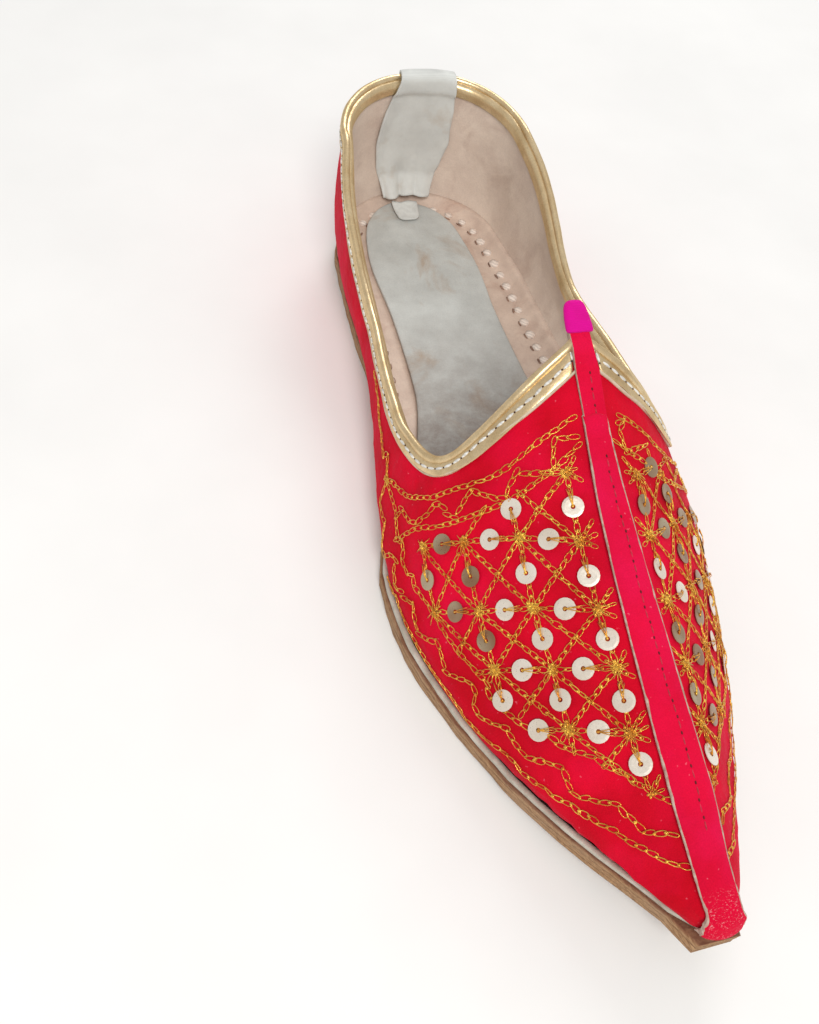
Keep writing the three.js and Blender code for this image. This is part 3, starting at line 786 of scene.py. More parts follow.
ring = [place for place, _ in below_rim(binding_tree, 2, lambda p: reach(p) * STITCH_ROW)]
parts = []
for place, ahead in spaced(ring + ring[:1], STITCH_PITCH):
    normal = binding_tree.find_nearest(place)[1]
    turn = frame_at(place + normal * 0.1 * MM, ahead, normal) @ askew(0.1, "Z")
    parts.append((STITCH_UNIT, turn, 0))
    parts.append((HOLE_UNIT, turn @ shift(-STITCH_PITCH / 2, 0, -0.1), 1))
joined("binding_stitches", parts, STITCH, HOLE_SHADE)

# %% [markdown]
# The ribbon's cut lower edge shows the pale leather under the foil. A thin flat tube laid on the velvet, just
# under the ribbon, gives it that line.

# %% Raw edge of the binding
PALE_EDGE = leather("pale_cut_edge", (0.72, 0.62, 0.48), (0.5, 0.4, 0.28), rough=0.8, blotch=3, pore=0.4)
hits = below_rim(skin_tree, 1.5, lambda p: reach(p) + 0.25)
raw_mesh = sweep(bmesh.new(), evened([place + normal * 0.45 * MM for place, normal in hits]),
                 [normal for _, normal in hits], 0.38, sides=6, closed=True, flat=1.5)
outwards(raw_mesh)
piece_from("binding_cut_edge", raw_mesh, PALE_EDGE)

# %% [markdown]
# The strap is thick leather covered with cloth and laid over the vamp's keel, and the narrow tongue strip runs out
# from under it past the throat. Their long sides are cut and left raw, while their ends are covered, so the faces
# below and the narrow ones at the sides take raw leather. The real strap is cut straight across at the throat, is
# narrowest there and turns down over the toe. Its copy is squared, narrowed and drawn forward before it is
# subdivided, and the tongue's hidden end is carried on under the strap.

# %% Cloth laid over leather
SHARE_AT = (160, 170, 200, 235, 250)
STRAP_TURN, STRAP_END = 246, 247


def square_start(bm, first, near, raised):
    """Brings the strip's slanting start in line across it, covers its cut with cloth, and returns its points."""
    start = {v for v in bm.verts if along(v.co) < first + 3.5}
    crest = max(v.co.z for v in start)
    for v in start:
        v.co.y += 1.15 * (crest - v.co.z) + near * MM
        v.co.z += raised * MM
    for face in bm.faces:
        if start.issuperset(face.verts):
            face.material_index = 0
    return start


def narrow(bm, outer, shares):
    """Narrows a strip along its length, keeps it on the skin, and draws its outer side down over the toe."""
    points = list(bm.verts)
    for v in points:
        s = along(v.co)
        x = v.co.x * float(np.interp(s, SHARE_AT, shares)) - 0.3 * MM * (1 - smooth(s, 225, 248))
        old, new = (skin_tree.ray_cast(Vector((across, v.co.y, 0.09)), DOWN)[0] for across in (v.co.x, x))
        if old and new and s < STRAP_TURN:
            v.co.z += new.z - old.z
        v.co.x = x
        if v in outer:
            v.co.y -= 1.8 * smooth(s, 253, 262) * MM
            v.co.z -= 0.4 * smooth(s, 258, 264) * MM
    for _ in range(3):
        smoothed(bm, [v for v in points if along(v.co) > STRAP_END])


def cloth_on_leather(node_name, name, cloth, wave, **finish):
    """A smoothed copy of a strip. SHARE_AT says at which s each of the finish's shares of its width is reached."""
    bm = copy_of(node_name)
    groups = skins(bm, 50)
    upward = sorted(groups[:2], key=lambda g: sum(f.normal.z * f.calc_area() for f in g))
    for group in groups:
        for face in group:
            thin = min(e.calc_length() for e in face.edges) < 1.5 * MM and group is not upward[1]
            face.material_index = 1 if group is upward[0] or thin else 0
    points, outer = list(bm.verts), {v for face in upward[1] for v in face.verts}
    first, last = min(along(v.co) for v in points), max(along(v.co) for v in points)
    start = square_start(bm, first, finish.get("near", 0), finish["raised"])
    if "shares" in finish:
        narrow(bm, outer, finish["shares"])
    crease = bm.edges.layers.float.new("crease_edge")
    for e in bm.edges:
        if all(v in start for v in e.verts) and e.calc_face_angle(0) > radians(40):
            e[crease] = 0.9
    if "far" in finish:
        a, b = (skin_tree.ray_cast(spot(0, last + d, 90), DOWN)[0] for d in (-3, 3))
        for v in points:
            if along(v.co) > last - 2.5:
                v.co += (b - a).normalized() * finish["far"] * MM - Vector((0, 0, 0.9 * MM))
    if "cut" in finish:
        sharp = [e for e in bm.edges if e.calc_face_angle(0) > radians(50)]
        bmesh.ops.bevel(bm, geom=sharp, offset=finish["cut"] * MM, segments=2, profile=0.5, affect="EDGES",
                        material=-1)
    made = piece_from(name, bm, cloth, RAW, levels=finish.get("levels", 0))
    shift_points(made, lambda p, n: noise.noise(p * 90) * wave + noise.noise(p * 260) * wave * 0.4)
    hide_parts(node_name)
    return made


strap = cloth_on_leather("vamp_strip", "vamp_strap", LIT_STRAP_RED, 0.22, levels=2, raised=0.6,
                         shares=(0.74, 0.78, 0.87, 0.95, 1.0))
tongue = cloth_on_leather("tongue_strip", "tongue_strap", LIT_STRAP_RED, 0.05, cut=0.28, near=0.9, raised=0.55, far=4.0)
strap_tree, tongue_tree = tree_of(strap), tree_of(tongue)

# %% [markdown]
# A cap of magenta satin binds the tongue's end. It tapers towards its tip, and at the other end it stands a little
# over the strip that goes into it.

# %% Tongue cap
cap_mesh = copy_of("tongue_cap")
tip, mouth = min(along(v.co) for v in cap_mesh.verts), max(along(v.co) for v in cap_mesh.verts)
for v in cap_mesh.verts:
    t = (along(v.co) - tip) / (mouth - tip)
    v.co.x *= 0.84 + 0.3 * t
    if t > 0.5:
        v.co += Vector((0, -0.5, 0.2)) * MM
cap = piece_from("magenta_cap", cap_mesh, MAGENTA, levels=3)
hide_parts("tongue_cap")

# %% [markdown]
# Where leather is cut, its fibres stand out along the edge as a pale furry line. On both strips the line where
# cloth and leather meet is known from the materials of their faces. It is walked round once, and a rough thin cord
# is laid along each side of it, but not across the ends.

# %% Raw edges of the strips
def outline_of(made):
    """The longest ring of points where a piece's first and second material meet."""
    bm = bmesh.new()
    bm.from_mesh(made.data)
    edges = dict.fromkeys(e for e in bm.edges if len({f.material_index for f in e.link_faces}) == 2)
    rings = []
    while edges:
        last, _ = edges.popitem()
        ring = [last.verts[0], last.verts[1]]
        while True:
            onward = [e for e in ring[-1].link_edges if e in edges]
            if not onward:
                break
            last = onward[0]
            del edges[last]
            ring.append(last.other_vert(ring[-1]))
        rings.append([v.co.copy() for v in ring if v is not ring[0]] + [ring[0].co.copy()])
    bm.free()
    return max(rings, key=len)


def side_lines(ring, inner):
    """The stretches of a ring that lie further than inner to either side of the middle."""
    begin = next(k for k in range(len(ring)) if abs(ring[k].x) < inner * MM)
    lines, line = [], []
    for p in ring[begin:] + ring[:begin + 1]:
        if abs(p.x) > inner * MM:
            if not line or (p - line[-1]).length > 0.2 * MM:
                line.append(p)
        elif len(line) > 10:
            lines.append(line)
            line = []
    return lines


for made, tree, name, width, inner in ((strap, strap_tree, "strap_cut_edge", 0.36, 2.6),
                                       (tongue, tongue_tree, "tongue_cut_edge", 0.27, 2.1)):
    raw_mesh = bmesh.new()
    for line in side_lines(evened(outline_of(made)), inner):
        normals = [tree.find_nearest(p)[1] for p in line]
        sweep(raw_mesh, [p - n * 0.3 * MM for p, n in zip(line, normals)], normals, width, sides=6, flat=1.3)
    outwards(raw_mesh)
    cut_edge = piece_from(name, raw_mesh, RAW)
    shift_points(cut_edge, lambda p, n: 0.15 * noise.noise(p * 500) + 0.1 * noise.noise(p * 1300))

# %% [markdown]
# A row of stitches runs down the middle of both strips. The thread is the cloth's own red and is pulled into the
# nap, so what shows is a dark pill, painted shade of the needle hole, and a short sunken pill after it.

# %% Stitches of the strips
STRIP_PITCH = 3.4
# The dark red of the holes is painted shade in the needle holes.
RED_HOLE_SHADE = leather("red_needle_hole_painted_shade", (0.2, 0.012, 0.022), (0.09, 0.005, 0.01), rough=0.9, blotch=1)
needle, sunk = pill(0.8, 0.5, 0.35), pill(2.0, 0.42, 0.3)
parts = []
for tree, start, end in ((strap_tree, 167, 250), (tongue_tree, 149, 163)):
    steps = int((end - start) / STRIP_PITCH) + 1
    hits = [tree.ray_cast(spot(0, start + k * STRIP_PITCH, 90), DOWN)[:2] for k in range(steps)]
    hits = [hit for hit in hits if hit[0] is not None]
    for (a, normal), (b, _) in zip(hits, hits[1:]):
        turn = frame_at(a + Vector((dice.uniform(-0.25, 0.25) + 0.4, 0, 0)) * MM, b - a, normal)
        parts.append((needle, turn, 1))
        parts.append((sunk, turn @ shift(STRIP_PITCH / 2, 0, -0.02), 0))
strap_stitches = joined("strap_stitches", parts, RED_STITCH, RED_HOLE_SHADE)

# %% [markdown]
# The outsole is a stack of buffalo leather cut to outline, and its edge is the part that shows. The copy gets
# seven rows of faces up its side, so that the cut can be uneven, and a tier attribute for its layers. The rand is
# one more layer of pale hide. It bulges a little, and is lumpy towards the toe, where it is drawn in. A narrow
# groove in its top, at the seam that holds it to the upper, is near black: painted shade in the groove.

# %% Outsole and rand
# Near black for the groove in the rand's top: painted shade between rand and upper.
GROOVE_SHADE = leather("rand_groove_painted_shade", (0.1, 0.035, 0.028), (0.04, 0.014, 0.011), rough=0.9, blotch=3)


def edge_of_sole(node_name, name, mat, rows, bottom, thick, bulge, rough, inset=0, toe_inset=0, groove=None):
    """A copy of a layer of the sole that starts bottom above the ground, in millimetres, with a worn edge."""
    bm = copy_of(node_name)
    upright = [e for e in bm.edges if abs(e.verts[0].co.z - e.verts[1].co.z) > 0.4 * thick * MM
               and hypot(e.verts[0].co.x - e.verts[1].co.x, e.verts[0].co.y - e.verts[1].co.y) < 0.3 * MM]
    bmesh.ops.subdivide_edges(bm, edges=upright, cuts=rows, use_grid_fill=True)
    bm.normal_update()
    side = {v for v in bm.verts if abs(v.normal.z) < 0.9}
    round_edges = [e for e in bm.edges if e.calc_length() < 9 * MM and side.issuperset(e.verts)
                   and abs(e.verts[0].co.z - e.verts[1].co.z) < 0.3 * e.calc_length()]
    bmesh.ops.subdivide_edges(bm, edges=round_edges, cuts=3, use_grid_fill=True)
    bm.normal_update()
    for v in bm.verts:
        n = Vector((v.normal.x, v.normal.y, 0))
        if n.length > 0.3:
            n.normalize()
            s = along(v.co)
            h = (v.co.z / MM - lift(s) - bottom) / thick
            toe = smooth(s, 215, 258)
            push = bulge * sin(pi * min(max(h, 0), 1))
            push += rough * noise.noise(Vector((v.co.x * 260, v.co.y * 260, v.co.z * 900)))
            push += toe * rough * 1.6 * noise.noise(v.co * 420) + rough * noise.noise(v.co * 70)
            push -= inset + toe_inset * smooth(s, 259, 265)
            v.co += n * push * MM
    if groove:
        top = [f for f in bm.faces if f.normal.z > 0.8]
        bmesh.ops.inset_region(bm, faces=top, thickness=1.15 * MM, use_boundary=True)
        bmesh.ops.inset_region(bm, faces=top, thickness=0.3 * MM, depth=-0.9 * MM, use_boundary=True)
        for f in top:
            f.material_index = 1
    made = piece_from(name, bm, mat, *([groove] if groove else []))
    tier = made.data.attributes.new("tier", "FLOAT", "POINT")
    for k, v in enumerate(made.data.vertices):
        tier.data[k].value = (v.co.z / MM - lift(along(v.co)) - bottom) / thick
    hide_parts(node_name)
    return made


outsole = edge_of_sole("outsole", "stacked_outsole", SOLE, 7, 0, 5, 0.1, 0.3)
rand = edge_of_sole("rand", "pale_rand_edge", RAND, 3, 5.3, 1.3, 0.2, 0.2, inset=0.1, toe_inset=2.6, groove=GROOVE_SHADE)

# %% [markdown]
# The footbed lies inside the shell and curls up where it meets the wall. Rays cast sideways from a line down the
# middle find the wall, and give the first ring; round the toe they rise with the sole. Each further ring is
# extruded from the last and pulled inwards, with a height that falls off like a fillet, and the middle is filled
# because the pad covers it. Where the toe is narrower than the rings are wide, they move closer together.

# %% Footbed
FOOTBED_TOP = 8.5
SPINE_BACK, SPINE_FRONT = 27, 236
ROUND, SIDE, HEEL = 168, 0.32, 0.21
TOE_SLOPE = 0.3
# distance in from the wall and height over the footbed, in millimetres, for each ring
RINGS = ((0, 4), (0.7, 2.7), (1.5, 1.7), (2.5, 0.95), (3.6, 0.4), (5, 0.1), (7, 0), (10, 0), (13, 0))


def footbed_ray(k):
    """Where a ray to the wall starts, and its direction, for one of ROUND places round the footbed."""
    t = k / ROUND
    if t < SIDE:
        return SPINE_BACK + (SPINE_FRONT - SPINE_BACK) * (1 - t / SIDE), 0
    if t < SIDE + HEEL:
        return SPINE_BACK, pi * (t - SIDE) / HEEL
    if t < SIDE * 2 + HEEL:
        return SPINE_BACK + (SPINE_FRONT - SPINE_BACK) * (t - SIDE - HEEL) / SIDE, pi
    return SPINE_FRONT, pi + pi * (t - 2 * SIDE - HEEL) / (1 - 2 * SIDE - HEEL)


def to_wall(k, height):
    """The place on the wall, the direction back from it, and how far apart the rings may lie, from 0 to 1."""
    s, angle = footbed_ray(k)
    start, ray = spot(0, s, height + lift(s)), Vector((cos(angle), sin(angle), TOE_SLOPE * max(0, -sin(angle))))
    hit = lining_tree.ray_cast(start, ray)[0]
    if hit is None:
        hit = start + ray * 8 * MM
    return hit, -ray, min(1, 0.9 * (hit - start).length / (RINGS[-1][0] * MM))


bm = bmesh.new()
circle = bmesh.ops.create_circle(bm, segments=ROUND, radius=0.05)["verts"]
edges = list(bm.edges)
walls = [to_wall(k, FOOTBED_TOP + RINGS[0][1] * 0.4) for k in range(ROUND)]
order = {v: k for k, v in enumerate(circle)}
for number, (inside, rise) in enumerate(RINGS):
    if number:
        made = bmesh.ops.extrude_edge_only(bm, edges=edges)["geom"]
        edges, new = edges_in(made), set(vertices_in(made))
        order = {e.other_vert(v): k for v, k in order.items() for e in v.link_edges if e.other_vert(v) in new}
    for v, k in order.items():
        wall, inward, room = walls[k]
        if number == 0:
            v.co = to_wall(k, FOOTBED_TOP + rise)[0] - inward * 0.3 * MM
        else:
            v.co = wall + inward * inside * room * MM
            v.co.z = (FOOTBED_TOP + rise + lift(along(v.co)) + 0.12 * noise.noise(v.co * 150)) * MM
bmesh.ops.triangle_fill(bm, edges=edges, use_beauty=True)
face_up(bm)
under = bmesh.ops.extrude_face_region(bm, geom=bm.faces[:] + bm.edges[:], use_keep_orig=True)["geom"]
bmesh.ops.translate(bm, verts=vertices_in(under), vec=DOWN * MM)
outwards(bm)
footbed = piece_from("footbed", bm, FOOTBED)
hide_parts("insole")
footbed_tree = tree_of(footbed)

# %% [markdown]
# A row of thong stitches holds the footbed to the sole, all round between the pad and the wall. Each one is a
# short fat loop across the row, with the slots that an awl has cut on both sides of it, dark with painted shade.

# %% Footbed stitches
THONG_PITCH, THONG_IN, THONG_END, SLOT_OUT = 5.9, 4.3, 228, 1.75
# The dark brown of the awl slots is painted shade in the cuts.
AWL_SHADE = leather("awl_slot_painted_shade", (0.42, 0.27, 0.2), (0.2, 0.11, 0.08), rough=0.9, blotch=2)
thong, awl = pill(3.2, 3.5, 2.0), pill(0.75, 2.5, 0.5)
row = [(k, wall + inward * THONG_IN * MM) for k, (wall, inward, _) in enumerate(walls) if along(wall) < THONG_END]
begin = next(j for j in range(len(row)) if row[j][0] - row[j - 1][0] != 1)
path = [footbed_tree.ray_cast(p + Vector((0, 0, 0.01)), DOWN)[0] for _, p in row[begin:] + row[:begin]]
parts = []
for place, ahead in spaced(path, THONG_PITCH):
    turn = frame_at(place, ahead, Vector((0, 0, 1))) @ turned(pi / 2, "Z") @ askew(0.2, "Z")
    parts.append((thong, turn @ shift(0, 0, 0.1) @ Matrix.Scale(dice.uniform(0.85, 1.1), 4), 0))
    for x in (-SLOT_OUT, SLOT_OUT):
        parts.append((awl, turn @ shift(x, 0, 0) @ askew(0.2, "Z"), 1))
joined("footbed_stitches", parts, LINING_STITCH, AWL_SHADE)

# %% [markdown]
# The foot pad is a thin sock of foam under pale covering, worn and flat. It is a copy of its solid with two rounds
# of subdivision, pressed down where heel and ball stand on it, so that its top swells a little between. A cloth
# simulation would blow up something this thin, so the swell is said outright.

# %% Foot pad
pad_mesh = copy_of("sock_pad")
across = [e for e in pad_mesh.edges if e.calc_length() > 12 * MM]
bmesh.ops.subdivide_edges(pad_mesh, edges=across, cuts=9, use_grid_fill=True)
pad = piece_from("foot_pad", pad_mesh, PAD, levels=2)


def swell(p, normal):
    if normal.z < 0.5:
        return 0
    press = 0.45 * exp(-(((along(p) - 38) / 20) ** 2)) + 0.5 * exp(-(((along(p) - 165) / 24) ** 2))
    return 0.35 - press + 0.25 * noise.noise(p * 70) + 0.1 * noise.noise(p * 200)


shift_points(pad, swell)
for v in pad.data.vertices:
    v.co.x += (-1.2 + 0.4 * noise.noise(Vector((3, v.co.y * 30, 0)))) * MM
pad_tree = tree_of(pad)
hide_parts("sock_pad")

# %% [markdown]
# The heel tab is a piece of cotton tape folded over the back of the heel. It hangs inside, widens, and is gathered
# again at its foot. It starts as a flat grid, one edge of the tape for each side, and every point is carried to
# the wall it lies on: down the outside, over the rim in a half turn, and down the lining. The wrinkles are waves
# across it, which grow where it is gathered.

# %% Heel tape
TAPE_OUTSIDE, TAPE_LENGTH, TAPE_THICK = 6, 53, 0.5
OVER_START, OVER_END, GATHERED = -2.2, 3.4, 40
# how far down from the rim, in millimetres, with half the tape's width and how far it has slipped sideways there
TAPE_HALF = ((-6, 0, 4, 14, 26, 36, 44, 47), (8.6, 9, 9.5, 11.6, 12.8, 11.5, 9, 8.2))
TAPE_SLIP = ((0, 20, 47), (3.0, 0.8, 0.0))
TO_TOE, TO_HEEL = Vector((0, -1, 0)), Vector((0, 1, 0))


def on_tape(across, down):
    """The place of a point of the tape, told by -1 to 1 across it and by millimetres down from the rim."""
    x = across * float(np.interp(down, *TAPE_HALF)) + float(np.interp(down, *TAPE_SLIP))
    gather = smooth(down, 30, 45)
    ripple = 0.30 * sin(across * 7 + down * 0.12) * (0.35 + gather) + 0.85 * gather * sin(across * 9.5 + 1)
    ripple += 0.5 * noise.noise(Vector((x * 0.11, down * 0.1, 4)))
    rim_here = min(rim, key=lambda p: abs(p.x - x * MM) + (10 if along(p) > 40 else 0))
    top = rim_here.z + 1.5 * MM
    if down < OVER_START:
        start = Vector((x * MM, HEEL_Y + 0.03, top + (down - OVER_START - 1.6) * MM))
        wall = binding_tree.ray_cast(start, TO_TOE)[0] or skin_tree.ray_cast(start, TO_TOE)[0]
        return wall + TO_HEEL * (1.2 + ripple * 0.5) * MM
    if down < OVER_END:
        bend = (down - OVER_START) / (OVER_END - OVER_START) * pi
        return Vector((x * MM, rim_here.y + 3.3 * cos(bend) * MM, top + (2.0 * sin(bend) + ripple * 0.4) * MM))
    z = top - ((down - OVER_END) * 0.98 + 0.4) * MM
    start = Vector((x * MM, spot(0, 40, 0).y, min(z, rim_here.z - 1.2 * MM)))
    hits = [tree.ray_cast(start, TO_HEEL)[0] for tree in (lining_tree, binding_tree)]
    place = min((h for h in hits if h), key=lambda h: h.y) + TO_TOE * (1.1 + ripple) * MM
    place.z = z
    if down > GATHERED:
        place.y -= (down - GATHERED) * 0.55 * MM
        place.x -= 0.5 * gather * sin(across * 9.5 + 2.2) * MM
        place.z = max(z, (FOOTBED_TOP + 5.2 + ripple + 0.8 * sin(across * 4 + 0.6)) * MM)
    return place


bm = bmesh.new()
bmesh.ops.create_grid(bm, x_segments=30, y_segments=62, size=0.5)
for v in bm.verts:
    v.co = on_tape(v.co.x * 2, (0.5 - v.co.y) * TAPE_LENGTH - TAPE_OUTSIDE)
    v.co.x += 0.25 * noise.noise(v.co * 130) * MM
smoothed(bm, bm.verts)
outwards(bm)
print("tape measures", round(sum(f.calc_area() for f in bm.faces) / MM**2), "square mm")
bmesh.ops.solidify(bm, geom=bm.faces, thickness=TAPE_THICK * MM)
tab = piece_from("heel_tape", bm, TAPE)
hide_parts("heel_tab")

# %% [markdown]
# At its foot a narrow tongue of the same tape comes out from under the gathers and is stitched to the pad. It is a
# second small grid, with its far end rounded, that follows the pad.

# %% Foot of the tape
bm = bmesh.new()
bmesh.ops.create_grid(bm, x_segments=12, y_segments=12, size=0.5)
for v in bm.verts:
    d, side = 0.5 - v.co.y, v.co.x * 2
    x = side * (4.6 - 0.9 * d * d) - 0.6
    s = 8.0 + d * 8.8 * (1 - 0.16 * side**4)
    below = pad_tree.ray_cast(spot(x, max(s, 15), 40), DOWN)[0]
    top = below.z / MM if below else FOOTBED_TOP + 3
    ripple = 0.25 * sin(side * 5) * (1 - d) + 0.2 * noise.noise(Vector((x, s, 1)) * 0.6)
    v.co = spot(x, s, top + 0.75 + 0.9 * (1 - d) ** 2 + ripple)
bmesh.ops.solidify(bm, geom=bm.faces, thickness=-TAPE_THICK * MM)
outwards(bm)
tab_foot = piece_from("heel_tape_foot", bm, TAPE)

# %% [markdown]
# The embroidery is metal chain stitch, made of loops that each start inside the one before. One loop is a
# teardrop of thin tube with some forty faces. Lines of it are described by a few listed turning points, laid on
# the outer skin, and filled with loops at an even pitch, each a little out of true.

# %% Chain stitch
def teardrop(length, width, radius):
    path = []
    for k in range(10):
        a = tau * k / 10
        x = -cos(a) * length / 2
        path.append(Vector((x, sin(a) * width / 2 * (1 + 0.7 * x / length), 0.1 - 0.2 * (x / length))) * MM)
    return unit(sweep(bmesh.new(), path, [Vector((0, 0, 1))] * 10, radius, sides=4, closed=True))


LOOPS = [teardrop(3.1, 1.15, 0.115), teardrop(3.0, 0.75, 0.135), teardrop(3.2, 1.4, 0.115)]
KNOT = pill(0.75, 0.6, 0.55)
CROSSING = strand(0.11, 0.45)
stitches = []


def chain(places, pitch=2.45, size=1.0):
    """Loops of chain stitch along a line of places and normals on the skin, most with a knot at their start."""
    for near, ahead in spaced([place for place, _ in places], pitch * size):
        place, normal, *_ = skin_tree.find_nearest(near)
        turn = frame_at(place + normal * dice.uniform(0.18, 0.3) * MM, ahead, normal)
        turn = turn @ askew(0.16, "Z") @ askew(0.12, "X")
        loop = dice.choices(LOOPS, (5, 3, 2))[0]
        stitches.append((loop, turn @ Matrix.Scale(size * dice.uniform(0.92, 1.08), 4), 0))
        if dice.random() < 0.8:
            stitches.append((KNOT, turn @ shift(-1.25 * size, dice.uniform(-0.15, 0.15), 0.08), 0))


# %% [markdown]
# The borders run where the maker drew them before stitching: three lines along the throat and three above the sole,
# straight, zigzag and straight, on both sides of the shoe. Their turning points are listed as s and the
# distance up from the sole. The zigzag swings to both sides of its line, a little unevenly.

# %% Borders
def line_on_skin(hand, turns, wave=0.0, length=12.5, phase=0.0):
    """A line through turning points (s, up), swinging to both sides of itself if wave isn't 0."""
    flat = curve_through([Vector((s, up, 0)) * MM for s, up in turns], 0.6)
    travelled, places = 0.0, []
    for k, p in enumerate(flat):
        q = flat[min(k + 1, len(flat) - 1)] - flat[max(k - 1, 0)]
        travelled += (p - flat[max(k - 1, 0)]).length / MM
        swing = wave * (2 / pi) * (2 * abs(((travelled + phase) / length) % 1 - 0.5) * pi - pi / 2)
        swing *= 1 + 0.25 * noise.noise(Vector((travelled * 0.15, hand * 3.0, 0)))
        aside = Vector((-q.y, q.x, 0)).normalized() * swing
        s, up = p.x / MM + aside.x, p.y / MM + aside.y
        places.append(on_skin(hand, min(max(s, 101), 258), up))
    return places


# each line's turning points, and how far it swings
THROAT = [
    ([(135.8, 15), (139, 18), (148, 23.5), (155.9, 35.3), (159.6, 49.3), (158, 62.2), (156.4, 71.5)], 0),
    ([(149.5, 15.7), (152, 20), (157, 27), (160.3, 36), (163, 47.5), (164, 55), (162.5, 63), (160, 70)], 2.4),
    ([(154.2, 13.2), (158, 21.8), (163.2, 33.7), (166, 43.4), (166.2, 50.6), (164.6, 62.3), (162.2, 70)], 0),
]
SOLEWARD = [
    ([(160, 2), (176, 1.5), (194, 2.0), (206, 3.2), (216, 5.2), (226, 6.2), (239.5, 10.8), (249, 13.5),
      (253, 16.5)], 0),
    ([(135.8, 14), (143, 9), (152, 6.6), (165, 6.2), (178, 6.6), (190, 8), (200, 9), (212, 9.3), (221, 12),
      (231, 13.2), (239, 16.4), (247, 20)], 1.9),
    ([(135.8, 15), (143, 15.9), (149, 15.5), (155, 13), (160, 11.5), (167, 11.5), (176, 13), (187, 13), (198, 14.2),
      (205, 14.2), (212, 15), (220, 19), (228, 22.6), (236, 25), (243, 27)], 0),
]
QUARTER = [(135.8, 15.5), (130, 18.5), (122, 20), (110, 20.5), (101.5, 20.5)]
for hand in (-1, 1):
    for turns, wave in THROAT + SOLEWARD:
        chain(line_on_skin(hand, turns, wave, length=dice.uniform(12, 13.5), phase=dice.uniform(0, 12)))
    chain(line_on_skin(hand, QUARTER))
print(len(stitches), "loops and knots in the borders")

# %% [markdown]
# Inside the borders lies a lattice. Its stars stand in rows that lean back from the ridge, and chain stitch joins
# them along, across and both ways between. Chains stop where they meet a border or the strap. A place is told by s
# and by how far down from the ridge it lies, because the rows start at the strap.

# %% Places in the lattice
ROWS = (167.5, 181.8, 197.2, 211.5, 224.8, 237.0)
COLUMNS = (9.3, 24.1, 38.9, 53.7)
LEAN, STRAP_HALF = 0.43, 6.0


def star(row, column, hand):
    s = ROWS[row] - LEAN * (COLUMNS[column] - COLUMNS[0]) + (1.2 if hand > 0 else 0) + jog[hand, row, column][0]
    return s, COLUMNS[column] + jog[hand, row, column][1]


def limits(s, down):
    """Whether a place lies inside the innermost borders and clear of the strap."""
    up = girth(-1, s) - down
    throat, sole = THROAT[2][0], SOLEWARD[2][0]
    back = np.interp(up, [u for _, u in throat], [x for x, _ in throat])
    low = np.interp(s, [x for x, _ in sole], [u for _, u in sole])
    return s > back - 0.3 and up > low - 0.3 and down > STRAP_HALF


def lattice_line(hand, a, b):
    """The part of a joint between two stars that lies inside the borders."""
    inside = []
    for k in range(31):
        s, down = (a[j] + (b[j] - a[j]) * k / 30 for j in (0, 1))
        if s < 255 and limits(s, down):
            inside.append(on_skin(hand, s, girth(hand, s) - down))
    return inside


STARS = [(hand, r, c) for hand in (-1, 1) for r in range(len(ROWS)) for c in range(len(COLUMNS))]
jog = {at: (dice.uniform(-0.7, 0.7), dice.uniform(-0.6, 0.6)) for at in STARS}
print(len(STARS), "places for stars")

# %% [markdown]
# Each joint along or across carries a sequin at its middle, and each star is a bundle of seven short threads that
# cross at a knot. Beside the strap three short chains lead from every star of the first column under its edge.

# %% Chains and stars
JOINTS = ((1, 0, True), (0, 1, True), (1, 1, False), (1, -1, False))
POINTS = 7


def cross_threads(place, normal):
    for k in range(POINTS):
        angle = tau * k / POINTS + dice.uniform(-0.25, 0.25)
        length = dice.uniform(2.8, 5.0)
        turn = frame_at(place + normal * dice.uniform(0.2, 0.5) * MM, TO_TOE, normal) @ turned(angle, "Z")
        stitches.append((CROSSING, turn @ shift(-0.35 * length, 0, 0) @ Matrix.Diagonal((length, 1, 1, 1)), 0))
    stitches.append((KNOT, frame_at(place + normal * 0.5 * MM, TO_TOE, normal) @ Matrix.Scale(1.2, 4), 0))


sequin_spots = []
for hand, r, c in STARS:
    here = star(r, c, hand)
    if here[0] < 160:
        continue
    for down_shoe, aside, sequin in JOINTS:
        if (hand, r + down_shoe, c + aside) not in jog:
            continue
        there = star(r + down_shoe, c + aside, hand)
        line = lattice_line(hand, here, there)
        if len(line) > 6:
            chain(line, pitch=2.3, size=0.95)
        middle = ((here[0] + there[0]) / 2, (here[1] + there[1]) / 2)
        if sequin and limits(*middle):
            sequin_spots.append((hand, middle, here if limits(*here) else there))
    if c == 0:
        for aslant in (-3.2, 0, 3.2):
            chain(lattice_line(hand, here, (here[0] + aslant, 5.5)), pitch=2.0, size=0.8)
    if limits(*here):
        cross_threads(*on_skin(hand, here[0], girth(hand, here[0]) - here[1]))
print(len(stitches), "loops, knots and threads in all;", len(sequin_spots), "sequins")

# %% [markdown]
# A sequin is a thin metal disc with a hole, dished so slightly that each one catches the light for itself. A
# profile of four points is spun round once. Flat shading keeps its stamped facets.

# %% One sequin
bm = bmesh.new()
profile = [bm.verts.new((r * MM, 0, z * MM)) for r, z in ((0.58, 0.0), (1.1, 0.04), (2.0, 0.06), (2.62, 0.0))]
edges = [bm.edges.new(pair) for pair in zip(profile, profile[1:])]
bmesh.ops.spin(bm, geom=profile + edges, axis=(0, 0, 1), cent=(0, 0, 0), dvec=(0, 0, 0), angle=tau, steps=18,
               use_merge=True)
face_up(bm)
bmesh.ops.solidify(bm, geom=bm.faces, thickness=0.12 * MM)
DISC = unit(bm)
print("sequin of", len(DISC.polygons), "faces")

# %% [markdown]
# Three threads tie each sequin down. They run from its hole out over the rim, towards a star. On the side where x
# is positive, and low down on the other side, most sequins take the brown finish: painted shade and a painted
# reflection of the red cloth. All the gold thread is then joined into one piece for each side of the shoe.

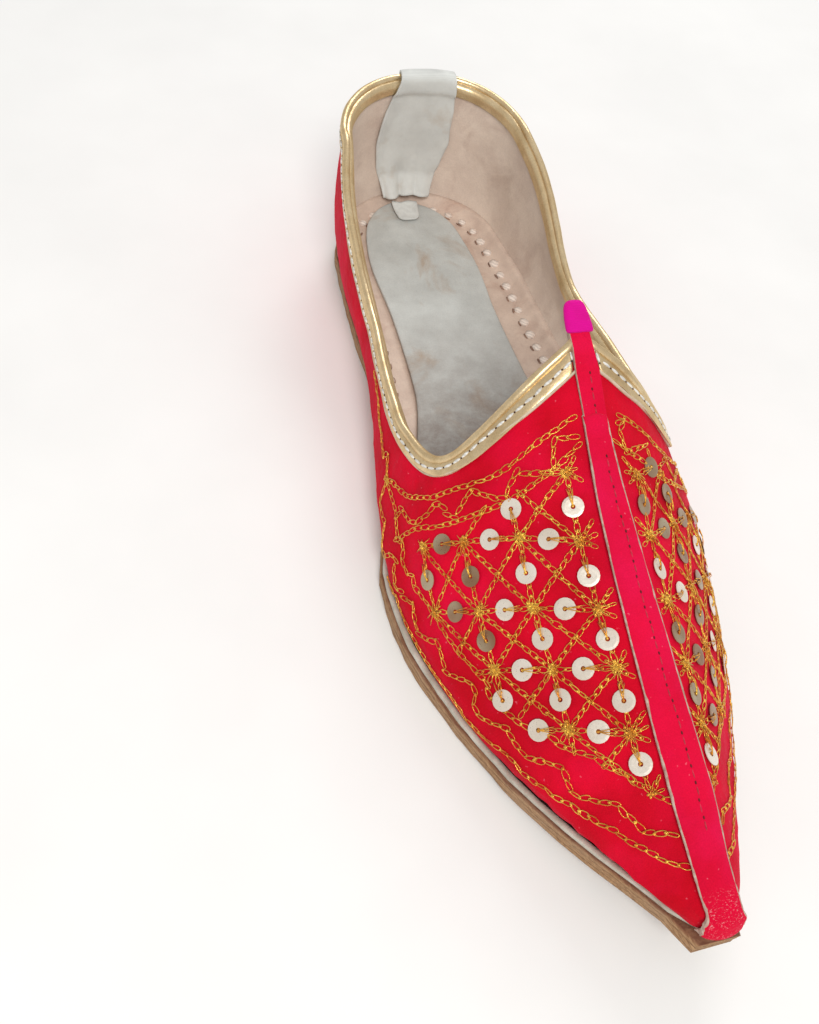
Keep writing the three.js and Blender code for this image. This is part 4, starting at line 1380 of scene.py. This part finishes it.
# %% Sequins, their ties and the whole embroidery
SEQUIN_LIFT, LOW_DOWN = 0.62, 38
discs = []
for hand, (s, down), towards in sequin_spots:
    place, normal = on_skin(hand, s, girth(hand, s) - down)
    goal, _ = on_skin(hand, towards[0], girth(hand, towards[0]) - towards[1])
    turn = frame_at(place + normal * SEQUIN_LIFT * MM, goal - place, normal) @ askew(0.13, "X") @ askew(0.13, "Y")
    # Sequins on the far side, and low down on this side, take the brown finish as painted shade and painted
    # reflection.
    dull = dice.random() < (0.65 if hand > 0 else 0.8 if down > LOW_DOWN else 0)
    discs.append((DISC, turn, int(dull)))
    for spread in (-0.16, 0.05, 0.2):
        tie = turn @ turned(spread, "Z") @ askew(0.06, "Z") @ shift(0, 0, 0.2)
        stitches.append((CROSSING, tie @ Matrix.Diagonal((dice.uniform(3.6, 4.6), 1, 1, 1)), 0))
    stitches.append((KNOT, turn @ shift(0.1, 0, 0.12), 0))
sequins = joined("sequins", discs, SEQUIN, SHADED_SEQUIN_METAL)
sequins.data.shade_flat()
joined("zari_embroidery_left", [part for part in stitches if part[1].translation.x < 0], ZARI)
joined("zari_embroidery_right", [part for part in stitches if part[1].translation.x >= 0], ZARI)

# %% [markdown]
# The shoe stands on a plain pale floor in soft studio light: a bright even surround, one large soft lamp in front
# and above, and a smaller one behind that draws the shine along the gold.

# %% Floor and light
bm = bmesh.new()
bmesh.ops.create_grid(bm, x_segments=2, y_segments=2, size=3)
floor_mesh = bpy.data.meshes.new("floor")
bm.to_mesh(floor_mesh)
bm.free()
floor = bpy.data.objects.new("floor", floor_mesh)
bpy.context.scene.collection.objects.link(floor)
paper, shader = material("pale_floor", Roughness=0.9, Specular_IOR_Level=0.1)
tone = ramp(paper, grain(paper, 60, detail=3), (0.3, (0.86, 0.86, 0.855)), (0.7, (0.9, 0.9, 0.895)))
wire(paper, tone, shader, "Base Color")
floor_mesh.materials.append(paper)

world = bpy.data.worlds.new("studio")
world.use_nodes = True
world.node_tree.nodes["Background"].inputs["Color"].default_value = (1.0, 0.99, 0.97, 1)
world.node_tree.nodes["Background"].inputs["Strength"].default_value = 0.55
bpy.context.scene.world = world


def lamp(name, place, aim, size, power, colour=(1, 1, 1)):
    data = bpy.data.lights.new(name, "AREA")
    data.shape, data.size, data.energy, data.color = "DISK", size, power, colour
    made = bpy.data.objects.new(name, data)
    bpy.context.scene.collection.objects.link(made)
    look = (Vector(aim) - Vector(place)).to_track_quat("-Z", "Y")
    made.matrix_world = Matrix.Translation(place) @ look.to_matrix().to_4x4()


lamp("key", (-0.2, -0.75, 0.95), (0, 0, 0.03), 0.45, 8.5, (1, 0.98, 0.95))
lamp("rear", (0.35, 0.75, 0.7), (0, 0.05, 0.05), 0.5, 3.0)
bpy.context.scene.view_settings.view_transform = "Standard"
print("floor and two lamps")
